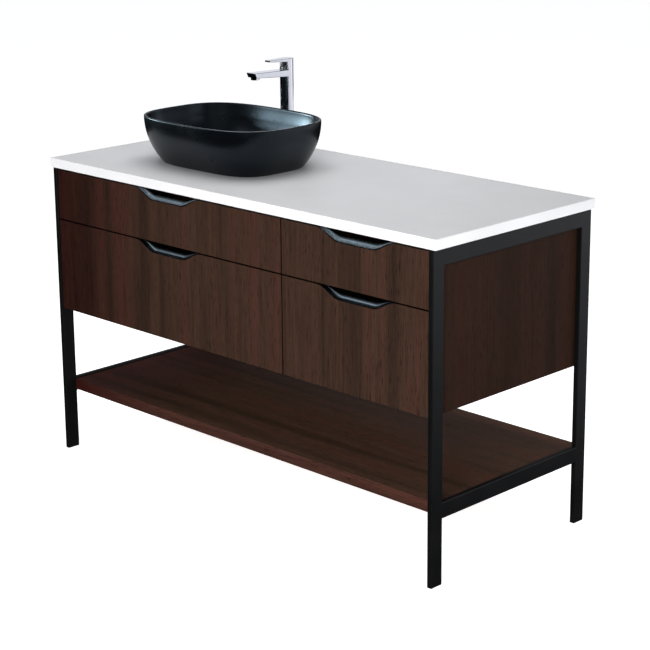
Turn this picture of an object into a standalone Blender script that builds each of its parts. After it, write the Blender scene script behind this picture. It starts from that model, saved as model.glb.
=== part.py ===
"""A bathroom vanity for a vessel basin: a white top on two black steel side frames, a dark veneered
cabinet with four drawers, an open shelf, a black oval-cornered basin and a tall single-lever tap.

Metres, +Z up, the front facing -Y. The origin is on the floor, under the middle of the top.
"""

import math

import bmesh
import bpy
from mathutils import Matrix, Vector

# ---------------------------------------------------------------- driving dimensions
TOP_WIDTH = 1.200
TOP_DEPTH = 0.500
TOP_THICKNESS = 0.022
TOP_HEIGHT = 0.716              # floor to the top's upper face
TOP_SIDE_OVERHANG = 0.008
TOP_END_OVERHANG = 0.002

TUBE_WIDTH = 0.012              # seen from the front
TUBE_DEPTH = 0.032              # seen from the side
TUBE_WALL = 0.0015
TOP_RAIL_HEIGHT = 0.036
LOWER_RAIL_HEIGHT = 0.034
LOWER_RAIL_FLOOR = 0.141        # floor to the lower rail's underside

BOARD = 0.016                   # carcass and drawer fronts
CABINET_FLOOR = 0.354           # floor to the cabinet's underside
FRONT_RECESS = 0.003            # drawer fronts behind the frame's front
ROW_GAP_HEIGHT = 0.571          # middle of the gap between upper and lower drawers
COLUMN_GAP_X = 0.172            # middle of the gap between left and right drawers
FRONT_GAP = 0.003
HEAD_GAP = 0.005                # upper fronts to the top's underside
BACK_PANEL = 0.008
BACK_PANEL_TOP = 0.600          # open above it for the pipes
FRONT_RAIL_Y = (-0.190, -0.110)
REAR_RAIL_FRONT = 0.196
BOARD_EASE = 0.0008             # bevel on the top's and the shelf's edges
TUBE_EASE = 0.001

SHELF_THICKNESS = 0.025
SHELF_FLOOR = 0.1455
SHELF_SETBACK = 0.028

SCOOP_TOP = 0.210               # finger scoop in each front: length at its mouth,
SCOOP_FLAT = 0.088              # length of its level floor
SCOOP_DEPTH = 0.021
LIP_SHEET = 0.001
LIP_RISE = 0.010
LIP_REACH = 0.0090
LEFT_SCOOP_X = -0.190
RIGHT_SCOOP_X = 0.384

LIP_SEAT = LIP_SHEET + 0.0008   # room for the lip between its face and the board

DRAWER_WALL = 0.012
DRAWER_FLOOR = 0.009
DRAWER_LENGTH = 0.400
PIPE_SLOT_WIDTH = 0.200         # the upper left drawer goes round the pipes
PIPE_SLOT_FRONT = -0.080
UPPER_TRAY_Z = (0.588, 0.661)
LOWER_TRAY_Z = (0.378, 0.536)
RUNNER_SPACE = 0.0127
RUNNER_HEIGHT = 0.035
RUNNER_SHEET = 0.0012
RUNNER_BAR_HEIGHT = 0.026
RUNNER_DEPTH = 0.0095
RUNNER_WEB_CLEARANCE = 0.0021   # bore side of the sliding bar to the cabinet wall
RUNNER_LIFT = 0.006             # runner's lower edge over the tray's
RUNNER_END = 0.002              # runner ends inside the tray's ends

BASIN_X = -0.229
BASIN_Y = -0.011
BASIN_HEIGHT = 0.109
BASIN_RIM = (0.2080, 0.1510, 3.1)    # half width, half depth, squareness
BASIN_FOOT = (0.1630, 0.1105, 3.7)
BASIN_WALL = 0.0085
BASIN_RIM_WALL = 0.0055
BASIN_FLOOR = 0.014
BASIN_FILLET = 0.024
DRAIN_RADIUS = 0.0225

WASTE_HOLE = 0.024              # radii
WASTE_FLANGE = 0.031
WASTE_THREAD = 0.0215
WASTE_BORE = 0.0165
PLUG_RADIUS = 0.0285
PLUG_STEM = 0.004
TAILPIECE_OUTER = 0.0160
TAILPIECE_INNER = 0.0145

TAP_Y = 0.164
TAP_HOLE = 0.0175
TAP_FLANGE = 0.0225
TAP_RADIUS = 0.016
TAP_SEAM = 0.199                # top's upper face to the joint between body and lever
TAP_TOTAL = 0.2245
SPOUT_REACH = 0.114
SPOUT_WIDTH = 0.030
SPOUT_STEP = 0.0007             # spout's upper face under the seam where it leaves the column
OUTLET_REACH = 0.100
AERATOR_RADIUS = 0.0100
SHANK_RADIUS = 0.0120
CARTRIDGE_RADIUS = 0.0121
SPINDLE_RADIUS = 0.0030
INLET_RADIUS = 0.0043
INLET_SPREAD = 0.0048           # each inlet tail from the tap's axis
LEVER_REACH = 0.061
BLADE_THICKNESS = 0.0082        # at the head; half of it at the tip
BLADE_TAPER = 0.56              # width at the tip over width at the head
PIVOT_DROP = 0.008              # seam to the lever's pivot

GAP = 0.0003                    # between pieces that touch
BASIN_SIDES = 48
ROUND = 36                      # sides of a turned piece
EPS = 0.002                     # how far a cutter runs past what it cuts

# ---------------------------------------------------------------- worked out from them
TOP_UNDERSIDE = TOP_HEIGHT - TOP_THICKNESS
FRAME_X = TOP_WIDTH / 2 - TOP_SIDE_OVERHANG
FRAME_Y = TOP_DEPTH / 2 - TOP_END_OVERHANG
FRAME_TOP = TOP_UNDERSIDE - GAP
INNER_X = FRAME_X - TUBE_WIDTH - GAP           # outer face of the carcass sides and shelf ends
CARCASS_X = INNER_X - BOARD                    # inner face of the carcass sides
FRONT_Y = -FRAME_Y + FRONT_RECESS
CARCASS_Y = FRONT_Y + BOARD + 0.0005           # front edge of the carcass
BACK_Y = FRAME_Y - 0.0035
FRONTS_TOP = TOP_UNDERSIDE - HEAD_GAP
DRAWER_Y = FRONT_Y + BOARD + GAP
PIVOT_Z = TOP_HEIGHT + TAP_SEAM - PIVOT_DROP
RAIL_Z = FRAME_TOP - BOARD                     # underside of the cabinet's flat top rails
BACK_FRONT = BACK_Y - BACK_PANEL               # inner face of the back panel
BASIN_FOOT_Z = TOP_HEIGHT + GAP
WASTE_SEAT = BASIN_FOOT_Z + BASIN_FLOOR + GAP  # where the waste's flange sits in the basin
WASTE_TAIL = TOP_UNDERSIDE - 0.045             # lower end of the waste's thread
SHANK_LOW = TOP_UNDERSIDE - 0.045
DOME_RADIUS = math.hypot(TAP_RADIUS, PIVOT_DROP)


# ---------------------------------------------------------------- scene and materials
def clear_scene():
    for old in list(bpy.data.objects):
        bpy.data.objects.remove(old, do_unlink=True)


def new_collection(name, hidden=False):
    collection = bpy.data.collections.new(name)
    collection.hide_render = hidden
    bpy.context.scene.collection.children.link(collection)
    return collection


def principled(name, colour, roughness, metallic=0.0):
    material = bpy.data.materials.new(name)
    material.use_nodes = True
    shader = material.node_tree.nodes["Principled BSDF"]
    shader.inputs["Base Color"].default_value = (*colour, 1.0)
    shader.inputs["Roughness"].default_value = roughness
    shader.inputs["Metallic"].default_value = metallic
    material.diffuse_color = (*colour, 1.0)
    return material


def place(name, mesh_or_curve, material, location=(0, 0, 0), parent=None):
    """Links a finished shape into the object's collection, at a place given in the world."""
    piece = bpy.data.objects.new(name, mesh_or_curve)
    PARTS.objects.link(piece)
    mesh_or_curve.materials.append(material)
    piece.location = location
    if parent:
        piece.parent = parent
        piece.location = Vector(location) - parent.matrix_world.translation
    return piece


def pivot(name, location, parent=None):
    """An empty on a joint's axis, which the moving pieces hang from."""
    empty = bpy.data.objects.new(name, None)
    empty.empty_display_size = 0.03
    PARTS.objects.link(empty)
    empty.location = location
    if parent:
        empty.parent = parent
        empty.location = Vector(location) - parent.matrix_world.translation
    bpy.context.view_layer.update()
    return empty


# ---------------------------------------------------------------- shapes
def box_mesh(name, size):
    bm = bmesh.new()
    bmesh.ops.create_cube(bm, size=1.0, matrix=Matrix.Diagonal((*size, 1.0)))
    mesh = bpy.data.meshes.new(name)
    bm.to_mesh(mesh)
    bm.free()
    return mesh


def box(name, low, high, material, parent=None, ease=0.0):
    """A board or block between two world corners, its long edges eased by a small bevel."""
    low, high = Vector(low), Vector(high)
    piece = place(name, box_mesh(name, high - low), material, (low + high) / 2, parent)
    if ease:
        bevel = piece.modifiers.new("eased edges", "BEVEL")
        bevel.width = ease
        bevel.segments = 1
        bevel.limit_method = "ANGLE"
    return piece


def cylinder_mesh(name, radius, height, sides=ROUND):
    bm = bmesh.new()
    bmesh.ops.create_cone(bm, cap_ends=True, segments=sides, radius1=radius, radius2=radius, depth=height)
    mesh = bpy.data.meshes.new(name)
    bm.to_mesh(mesh)
    bm.free()
    mesh.shade_smooth()
    mesh.set_sharp_from_angle(angle=math.radians(35))
    return mesh


def turned_mesh(name, profile, closed):
    """The radius and height pairs of a profile, from the top down its outer side, turned about Z."""
    mesh = bpy.data.meshes.new(name)
    edges = [(i, i + 1) for i in range(len(profile) - 1)]
    if closed:
        edges.append((len(profile) - 1, 0))
    mesh.from_pydata([(r, 0.0, z) for r, z in profile], edges, [])
    return mesh


def turned(name, profile, material, location, parent=None, closed=True, sides=ROUND):
    piece = place(name, turned_mesh(name, profile, closed), material, location, parent)
    screw = piece.modifiers.new("turned", "SCREW")
    screw.steps = screw.render_steps = sides
    screw.use_merge_vertices = True
    screw.merge_threshold = 1e-5
    screw.use_smooth_shade = False
    return piece


def tube(name, outer, inner, low, high, material, centre, parent=None, sides=ROUND):
    """A straight round tube standing on Z between two heights."""
    profile = [(inner, high), (outer, high), (outer, low), (inner, low)]
    return turned(name, profile, material, (*centre, 0.0), parent, sides=sides)


def hex_nut(name, corner_radius, hole_radius, low, high, material, centre):
    nut = place(name, cylinder_mesh(name, corner_radius, high - low, 6), material,
                (*centre, (low + high) / 2))
    return cut(nut, helper_cylinder(name + " hole", hole_radius, low - EPS, high + EPS, centre))


def outline_curve(name, points, thickness):
    """A flat outline with its thickness to both sides of it."""
    curve = bpy.data.curves.new(name, "CURVE")
    curve.dimensions = "2D"
    curve.fill_mode = "BOTH"
    curve.extrude = thickness / 2
    spline = curve.splines.new("POLY")
    spline.points.add(len(points) - 1)
    for point, (u, v) in zip(spline.points, points):
        point.co = (u, v, 0.0, 1.0)
    spline.use_cyclic_u = True
    return curve


def helper_mesh(name, mesh, location=(0, 0, 0), rotation=None):
    """A cutter or a blank: never a piece of its own."""
    helper = bpy.data.objects.new(name, mesh)
    CUTTERS.objects.link(helper)
    helper.location = location
    if rotation:
        helper.rotation_euler = rotation
    helper.hide_render = True
    helper.display_type = "WIRE"
    return helper


def helper_box(name, low, high):
    low, high = Vector(low), Vector(high)
    return helper_mesh(name, box_mesh(name, high - low), (low + high) / 2)


def helper_cylinder(name, radius, low, high, centre, sides=ROUND):
    mesh = cylinder_mesh(name, radius, high - low, sides)
    return helper_mesh(name, mesh, (*centre, (low + high) / 2))


def boolean(piece, helper, operation):
    modifier = piece.modifiers.new(helper.name, "BOOLEAN")
    modifier.operation = operation
    modifier.solver = "EXACT"
    modifier.object = helper
    return piece


def cut(piece, *helpers):
    for helper in helpers:
        boolean(piece, helper, "DIFFERENCE")
    return piece


def fuse(piece, *helpers):
    for helper in helpers:
        boolean(piece, helper, "UNION")
    return piece


# ---------------------------------------------------------------- top
def build_top():
    top = box("countertop", (-TOP_WIDTH / 2, -TOP_DEPTH / 2, TOP_UNDERSIDE),
              (TOP_WIDTH / 2, TOP_DEPTH / 2, TOP_HEIGHT), WHITE_TOP, ease=BOARD_EASE)
    low, high = TOP_UNDERSIDE - EPS, TOP_HEIGHT + EPS
    cut(top,
        helper_cylinder("waste hole", WASTE_HOLE, low, high, (BASIN_X, BASIN_Y)),
        helper_cylinder("tap hole", TAP_HOLE, low, high, (BASIN_X, TAP_Y)))


# ---------------------------------------------------------------- side frames
def square_tube(name, low, high, along, closed_start=False):
    """A thin-walled rectangular tube, open at its ends unless its start is capped."""
    piece = box(name, low, high, BLACK_STEEL, ease=TUBE_EASE)
    bore_low = [a + TUBE_WALL for a in low]
    bore_high = [a - TUBE_WALL for a in high]
    bore_high[along] = high[along] + EPS
    if not closed_start:
        bore_low[along] = low[along] - EPS
    return cut(piece, helper_box(name + " bore", bore_low, bore_high))


def build_side_frame(side, sign):
    outer, inner = sign * FRAME_X, sign * (FRAME_X - TUBE_WIDTH)
    low_x, high_x = min(outer, inner), max(outer, inner)
    for where, start in (("front", -FRAME_Y), ("rear", FRAME_Y - TUBE_DEPTH)):
        square_tube(f"{side}_{where}_leg", [low_x, start, 0.0],
                    [high_x, start + TUBE_DEPTH, FRAME_TOP], along=2, closed_start=True)
    rail_y = FRAME_Y - TUBE_DEPTH - GAP
    square_tube(f"{side}_top_rail", [low_x, -rail_y, FRAME_TOP - TOP_RAIL_HEIGHT],
                [high_x, rail_y, FRAME_TOP], along=1)
    square_tube(f"{side}_lower_rail", [low_x, -rail_y, LOWER_RAIL_FLOOR],
                [high_x, rail_y, LOWER_RAIL_FLOOR + LOWER_RAIL_HEIGHT], along=1)


# ---------------------------------------------------------------- cabinet and shelf
def build_carcass():
    for side, sign in (("left", -1), ("right", 1)):
        x = sorted((sign * INNER_X, sign * CARCASS_X))
        box(f"cabinet_{side}_side", (x[0], CARCASS_Y, CABINET_FLOOR), (x[1], BACK_Y, FRAME_TOP), VENEER)
    span = CARCASS_X - GAP
    floor_top = CABINET_FLOOR + BOARD
    box("cabinet_bottom", (-span, CARCASS_Y, CABINET_FLOOR), (span, BACK_FRONT - GAP, floor_top), VENEER)
    box("cabinet_partition", (COLUMN_GAP_X - BOARD / 2, CARCASS_Y, floor_top + GAP),
        (COLUMN_GAP_X + BOARD / 2, BACK_FRONT - GAP, RAIL_Z - GAP), VENEER)
    box("cabinet_front_rail", (-span, FRONT_RAIL_Y[0], RAIL_Z), (span, FRONT_RAIL_Y[1], FRAME_TOP), VENEER)
    box("cabinet_rear_rail", (-span, REAR_RAIL_FRONT, RAIL_Z), (span, BACK_FRONT - GAP, FRAME_TOP), VENEER)
    box("cabinet_back_panel", (-span, BACK_FRONT, CABINET_FLOOR), (span, BACK_Y, BACK_PANEL_TOP), VENEER)


def build_shelf():
    box("shelf", (-INNER_X, -FRAME_Y + SHELF_SETBACK, SHELF_FLOOR),
        (INNER_X, FRAME_Y, SHELF_FLOOR + SHELF_THICKNESS), VENEER, ease=BOARD_EASE)


# ---------------------------------------------------------------- drawers
def ease_in_out(t):
    t = min(max(t, 0.0), 1.0)
    return t * t * (3.0 - 2.0 * t)


def scoop_level(x, spare=0.0):
    """How far the scoop's floor lies under the front's top edge, at x from its middle."""
    mouth = SCOOP_TOP / 2 + 2.0 * spare
    flat = SCOOP_FLAT / 2 + spare
    return -(SCOOP_DEPTH + spare) * ease_in_out((mouth - abs(x)) / (mouth - flat))


def build_front(name, x_range, z_range, scoop_x, parent):
    """A slab front whose top edge dips in a finger scoop."""
    centre_x = sum(x_range) / 2
    half = (x_range[1] - x_range[0]) / 2
    top = z_range[1]
    mouth = SCOOP_TOP / 2 + 2.0 * LIP_SEAT
    steps = 24
    points = [(-half, z_range[0] - top), (half, z_range[0] - top), (half, 0.0)]
    for i in range(steps + 1):
        x = mouth - 2.0 * mouth * i / steps
        points.append((scoop_x - centre_x + x, scoop_level(x, LIP_SEAT)))
    points.append((-half, 0.0))
    front = place(name, outline_curve(name, points, BOARD), VENEER,
                  (centre_x, FRONT_Y + BOARD / 2, top), parent)
    front.rotation_euler = (math.pi / 2, 0.0, 0.0)
    return front


def build_lip(name, scoop_x, top, parent):
    """The metal lining of a scoop: level at the front, curling up behind, and fading out at its ends."""
    half = SCOOP_TOP / 2 - 0.007
    across, around = 20, 4
    verts = []
    for i in range(across + 1):
        x = -half + 2.0 * half * i / across
        level = scoop_level(x)
        rise = LIP_RISE * level / -SCOOP_DEPTH
        for j in range(around + 1):
            angle = math.pi / 2 * j / around
            verts.append((x, LIP_REACH * math.sin(angle), level + rise * (1.0 - math.cos(angle))))
    row = around + 1
    faces = [(i * row + j, (i + 1) * row + j, (i + 1) * row + j + 1, i * row + j + 1)
             for i in range(across) for j in range(around)]
    mesh = bpy.data.meshes.new(name)
    mesh.from_pydata(verts, [], faces)
    mesh.shade_smooth()
    lip = place(name, mesh, GREY_METAL, (scoop_x, FRONT_Y + 0.0002, top), parent)
    sheet = lip.modifiers.new("sheet", "SOLIDIFY")
    sheet.thickness = LIP_SHEET
    sheet.offset = -1.0
    return lip


def build_drawer_box(name, low, high, parent):
    """An open timber tray."""
    tray = box(name, low, high, BIRCH, parent)
    inner_low = (low[0] + DRAWER_WALL, low[1] + DRAWER_WALL, low[2] + DRAWER_FLOOR)
    inner_high = (high[0] - DRAWER_WALL, high[1] - DRAWER_WALL, high[2] + EPS)
    return tray, inner_low, inner_high


def build_plain_tray(name, low, high, parent):
    tray, inner_low, inner_high = build_drawer_box(name, low, high, parent)
    cut(tray, helper_box(name + " inside", inner_low, inner_high))


def build_notched_tray(name, low, high, parent):
    """A tray that goes round the waste and the tap's tails: a slot from its back, with walls of its own."""
    tray, inner_low, inner_high = build_drawer_box(name, low, high, parent)
    slot = (BASIN_X - PIPE_SLOT_WIDTH / 2, BASIN_X + PIPE_SLOT_WIDTH / 2)
    walled = (slot[0] - DRAWER_WALL, slot[1] + DRAWER_WALL)
    cut(tray,
        helper_box(name + " front part", inner_low,
                   (inner_high[0], PIPE_SLOT_FRONT - DRAWER_WALL, inner_high[2])),
        helper_box(name + " left part", inner_low, (walled[0], inner_high[1], inner_high[2])),
        helper_box(name + " right part", (walled[1], inner_low[1], inner_low[2]), inner_high),
        helper_box(name + " pipe slot", (slot[0], PIPE_SLOT_FRONT, low[2] - EPS),
                   (slot[1], high[1] + EPS, high[2] + EPS)))


def channel_outline(sign):
    """A runner's fixed member in section: a web on the cabinet, and flanges towards the drawer."""
    half = RUNNER_HEIGHT / 2
    web = sign * RUNNER_SHEET
    lip = sign * RUNNER_DEPTH
    inner = half - RUNNER_SHEET
    return [(0.0, -half), (lip, -half), (lip, -inner), (web, -inner),
            (web, inner), (lip, inner), (lip, half), (0.0, half)]


def build_runner(name, wall_x, sign, z, parent):
    """A pair of runner members. sign is +1 where the drawer lies on the wall's +X side."""
    length = DRAWER_LENGTH - 2.0 * RUNNER_END
    middle_y = DRAWER_Y + RUNNER_END + DRAWER_LENGTH / 2
    fixed = place(f"{name}_channel", outline_curve(name, channel_outline(sign), length), ZINC,
                  (wall_x + sign * GAP, middle_y, z))
    fixed.rotation_euler = (math.pi / 2, 0.0, 0.0)
    x = sorted((wall_x + sign * RUNNER_WEB_CLEARANCE, wall_x + sign * (RUNNER_SPACE - GAP)))
    box(f"{name}_slide", (x[0], middle_y - length / 2, z - RUNNER_BAR_HEIGHT / 2),
        (x[1], middle_y + length / 2, z + RUNNER_BAR_HEIGHT / 2), ZINC, parent)


def build_drawers():
    columns = {
        "left": ((-INNER_X, COLUMN_GAP_X - FRONT_GAP / 2),
                 (-CARCASS_X, COLUMN_GAP_X - BOARD / 2), LEFT_SCOOP_X),
        "right": ((COLUMN_GAP_X + FRONT_GAP / 2, INNER_X),
                  (COLUMN_GAP_X + BOARD / 2, CARCASS_X), RIGHT_SCOOP_X),
    }
    rows = {
        "upper": ((ROW_GAP_HEIGHT + FRONT_GAP / 2, FRONTS_TOP), UPPER_TRAY_Z),
        "lower": ((CABINET_FLOOR, ROW_GAP_HEIGHT - FRONT_GAP / 2), LOWER_TRAY_Z),
    }
    for row, (front_z, tray_z) in rows.items():
        for column, (front_x, bay_x, scoop_x) in columns.items():
            name = f"{row}_{column}"
            slide = pivot(f"{name}_drawer_slide", (sum(front_x) / 2, FRONT_Y, sum(front_z) / 2))
            build_front(f"{name}_drawer_front", front_x, front_z, scoop_x, slide)
            build_lip(f"{name}_handle_lip", scoop_x, front_z[1], slide)
            low = (bay_x[0] + RUNNER_SPACE, DRAWER_Y, tray_z[0])
            high = (bay_x[1] - RUNNER_SPACE, DRAWER_Y + DRAWER_LENGTH, tray_z[1])
            build = build_notched_tray if name == "upper_left" else build_plain_tray
            build(f"{name}_drawer_box", low, high, slide)
            runner_z = tray_z[0] + RUNNER_HEIGHT / 2 + RUNNER_LIFT
            for side, wall_x, sign in (("l", bay_x[0], 1), ("r", bay_x[1], -1)):
                build_runner(f"{name}_runner_{side}", wall_x, sign, runner_z, slide)


# ---------------------------------------------------------------- basin
def superellipse(half_x, half_y, power, z, count=BASIN_SIDES):
    """Points round a soft-cornered rectangle at one height."""
    points = []
    for i in range(count):
        angle = 2.0 * math.pi * (i + 0.5) / count
        c, s = math.cos(angle), math.sin(angle)
        points.append((half_x * math.copysign(abs(c) ** (2.0 / power), c),
                       half_y * math.copysign(abs(s) ** (2.0 / power), s), z))
    return points


def basin_size(z):
    """Half width, half depth and squareness of the basin's outside at height z over its foot."""
    drop = (BASIN_HEIGHT - z) / BASIN_HEIGHT
    t = drop ** 2.1
    return [rim + (foot - rim) * t for rim, foot in zip(BASIN_RIM, BASIN_FOOT)]


def basin_rings():
    """Rings from the middle of the foot up the outside, over the rim and down the inside to the drain."""
    rings = [superellipse(DRAIN_RADIUS, DRAIN_RADIUS, 2.0, 0.0)]
    foot = basin_size(0.0)
    rings.append(superellipse(foot[0] - 0.003, foot[1] - 0.003, foot[2], 0.0))
    outside = [0.002, 0.018, 0.036, 0.058, 0.082, BASIN_HEIGHT - 0.002]
    for z in outside:
        rings.append(superellipse(*basin_size(z), z))
    crown = BASIN_RIM_WALL / 2
    shoulder = BASIN_HEIGHT - 0.0004
    for inset, z in ((crown * 0.5, shoulder), (crown, BASIN_HEIGHT), (crown * 1.5, shoulder)):
        rings.append(superellipse(BASIN_RIM[0] - inset, BASIN_RIM[1] - inset, BASIN_RIM[2], z))
    fillet_top = BASIN_FLOOR + BASIN_FILLET
    for z in (BASIN_HEIGHT - 0.002, 0.085, 0.060, fillet_top):
        half_x, half_y, power = basin_size(z)
        wall = BASIN_RIM_WALL + (BASIN_WALL - BASIN_RIM_WALL) * min(1.0, (BASIN_HEIGHT - z) / 0.030)
        rings.append(superellipse(half_x - wall, half_y - wall, power, z))
    half_x, half_y, power = basin_size(fillet_top)
    for step in range(1, 4):
        angle = math.pi / 2 * step / 3
        inset = BASIN_WALL + 1.5 * BASIN_FILLET * (1.0 - math.cos(angle))
        z = fillet_top - (BASIN_FILLET - 0.003) * math.sin(angle)
        rings.append(superellipse(half_x - inset, half_y - inset, power, z))
    rings.append(superellipse(0.070, 0.062, 2.3, BASIN_FLOOR + 0.0012))
    rings.append(superellipse(0.034, 0.034, 2.0, BASIN_FLOOR))
    rings.append(superellipse(DRAIN_RADIUS, DRAIN_RADIUS, 2.0, BASIN_FLOOR))
    return rings


def build_basin():
    rings = basin_rings()
    bm = bmesh.new()
    loops = [[bm.verts.new(point) for point in ring] for ring in rings]
    for lower, upper in zip(loops, loops[1:] + loops[:1]):
        for i in range(BASIN_SIDES):
            j = (i + 1) % BASIN_SIDES
            bm.faces.new((lower[i], lower[j], upper[j], upper[i]))
    bmesh.ops.recalc_face_normals(bm, faces=bm.faces)
    mesh = bpy.data.meshes.new("basin")
    bm.to_mesh(mesh)
    bm.free()
    mesh.shade_smooth()
    place("basin", mesh, BLACK_CERAMIC, (BASIN_X, BASIN_Y, BASIN_FOOT_Z))


# ---------------------------------------------------------------- waste
def build_waste():
    centre = (BASIN_X, BASIN_Y)
    flange = WASTE_SEAT + 0.003
    turned("waste_body", [(WASTE_BORE - 0.0005, flange), (WASTE_FLANGE - 0.001, flange),
                          (WASTE_FLANGE, flange - 0.0012), (WASTE_FLANGE, WASTE_SEAT),
                          (WASTE_THREAD, WASTE_SEAT), (WASTE_THREAD, WASTE_TAIL),
                          (WASTE_BORE, WASTE_TAIL), (WASTE_BORE, WASTE_SEAT)],
           CHROME, (*centre, 0.0))
    hex_nut("waste_backnut", 0.033, WASTE_THREAD + GAP, TOP_UNDERSIDE - 0.012, TOP_UNDERSIDE - GAP,
            BRASS, centre)
    tube("waste_tailpiece", TAILPIECE_OUTER, TAILPIECE_INNER, WASTE_TAIL - 0.045, WASTE_TAIL + 0.015,
         CHROME, centre)
    plug_slide = pivot("waste_plug_slide", (*centre, flange))
    cap = flange + 0.0006
    turned("waste_plug", [(0.0, cap + 0.005), (0.012, cap + 0.0047), (0.022, cap + 0.0037),
                          (PLUG_RADIUS - 0.001, cap + 0.002), (PLUG_RADIUS, cap), (PLUG_STEM, cap),
                          (PLUG_STEM, cap - 0.030), (0.0, cap - 0.030)],
           CHROME, (*centre, 0.0), plug_slide, closed=False)


# ---------------------------------------------------------------- tap
def tap_bore(name, radius, low, high):
    return helper_cylinder(name, radius, TOP_HEIGHT + low, TOP_HEIGHT + high, (BASIN_X, TAP_Y))


def dome_profile(radius, edge):
    """The arc of the ball face about the lever's pivot, from one radius out to another."""
    points = []
    steps = 5
    for i in range(steps + 1):
        r = edge[0] + (edge[1] - edge[0]) * i / steps
        points.append((r, PIVOT_Z + math.sqrt(radius * radius - r * r)))
    return points


def spout_blank():
    """A flat spout seen from its side, drawn with its own thickness to both sides."""
    top, rise = TAP_SEAM, 0.002
    points = [(0.0, top - 0.0165), (-0.016, top - 0.016), (-SPOUT_REACH + 0.005, top + rise - 0.0115),
              (-SPOUT_REACH, top + rise - 0.001), (-SPOUT_REACH + 0.001, top + rise),
              (-0.010, top - SPOUT_STEP), (0.0, top - SPOUT_STEP)]
    blank = bpy.data.objects.new("spout outline", outline_curve("spout outline", points, SPOUT_WIDTH))
    CUTTERS.objects.link(blank)
    blank.location = (BASIN_X, TAP_Y, TOP_HEIGHT)
    blank.rotation_euler = (math.pi / 2, 0.0, math.pi / 2)
    bpy.context.view_layer.update()
    graph = bpy.context.evaluated_depsgraph_get()
    mesh = bpy.data.meshes.new_from_object(blank.evaluated_get(graph))
    bm = bmesh.new()
    bm.from_mesh(mesh)
    bmesh.ops.remove_doubles(bm, verts=bm.verts, dist=1e-6)
    bmesh.ops.recalc_face_normals(bm, faces=bm.faces)
    bm.to_mesh(mesh)
    bm.free()
    spout = helper_mesh("spout", mesh)
    spout.matrix_world = blank.matrix_world
    bpy.data.objects.remove(blank, do_unlink=True)
    ease = spout.modifiers.new("soft edges", "BEVEL")
    ease.width = 0.0015
    ease.segments = 2
    ease.limit_method = "ANGLE"
    ease.angle_limit = math.radians(50)
    return spout


def build_tap_body():
    base = BASIN_FOOT_Z
    ball = dome_profile(DOME_RADIUS, (0.0, TAP_RADIUS))
    column = ball + [(TAP_RADIUS, base + 0.010), (0.0175, base + 0.0075), (TAP_FLANGE - 0.001, base + 0.006),
                     (TAP_FLANGE, base + 0.0045), (TAP_FLANGE, base), (0.0, base)]
    body = turned("tap_body", column, CHROME, (BASIN_X, TAP_Y, 0.0), closed=False)
    fuse(body, spout_blank())
    way_length = OUTLET_REACH + 0.002
    waterway = helper_mesh("waterway", cylinder_mesh("waterway", 0.0035, way_length, 16),
                           (BASIN_X, TAP_Y - way_length / 2, TOP_HEIGHT + TAP_SEAM - 0.0065),
                           (math.pi / 2 + math.radians(0.6), 0.0, 0.0))
    outlet = helper_cylinder("outlet", AERATOR_RADIUS + GAP, TOP_HEIGHT + TAP_SEAM - 0.020,
                             TOP_HEIGHT + TAP_SEAM - 0.0035, (BASIN_X, TAP_Y - OUTLET_REACH), 32)
    cut(body, tap_bore("shank socket", SHANK_RADIUS + GAP, -EPS, 0.0123),
        tap_bore("hose bore", 0.0095, 0.0, 0.160),
        tap_bore("cartridge chamber", CARTRIDGE_RADIUS + 0.0004, 0.152, TAP_SEAM + 0.020), waterway, outlet)


def build_tap_inside():
    centre = (BASIN_X, TAP_Y)
    z = TOP_HEIGHT
    place("tap_cartridge", cylinder_mesh("tap_cartridge", CARTRIDGE_RADIUS, 0.0262), WHITE_PLASTIC,
          (*centre, z + 0.1669))
    swivel = pivot("tap_swivel", (*centre, PIVOT_Z))
    place("cartridge_carrier", cylinder_mesh("cartridge_carrier", 0.008, 0.0058, 32), BRASS,
          (*centre, PIVOT_Z - 0.0075), swivel)
    tube("tap_shank", SHANK_RADIUS, SHANK_RADIUS - 0.002, SHANK_LOW, z + 0.0120, BRASS, centre)
    hex_nut("tap_backnut", 0.0230, SHANK_RADIUS + GAP, TOP_UNDERSIDE - 0.0095, TOP_UNDERSIDE - GAP,
            BRASS, centre)
    for name, side, end in (("hot_inlet", -1, 0.108), ("cold_inlet", 1, 0.096)):
        x = BASIN_X + side * INLET_SPREAD
        tube(name, INLET_RADIUS, INLET_RADIUS - 0.0012, z - end, z + 0.060, CHROME, (x, TAP_Y), sides=20)
    return swivel


def build_aerator():
    low = TOP_HEIGHT + TAP_SEAM - 0.0150
    tube("tap_aerator", AERATOR_RADIUS, AERATOR_RADIUS - 0.003, low, low + 0.0105, CHROME,
         (BASIN_X, TAP_Y - OUTLET_REACH), sides=32)


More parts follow.
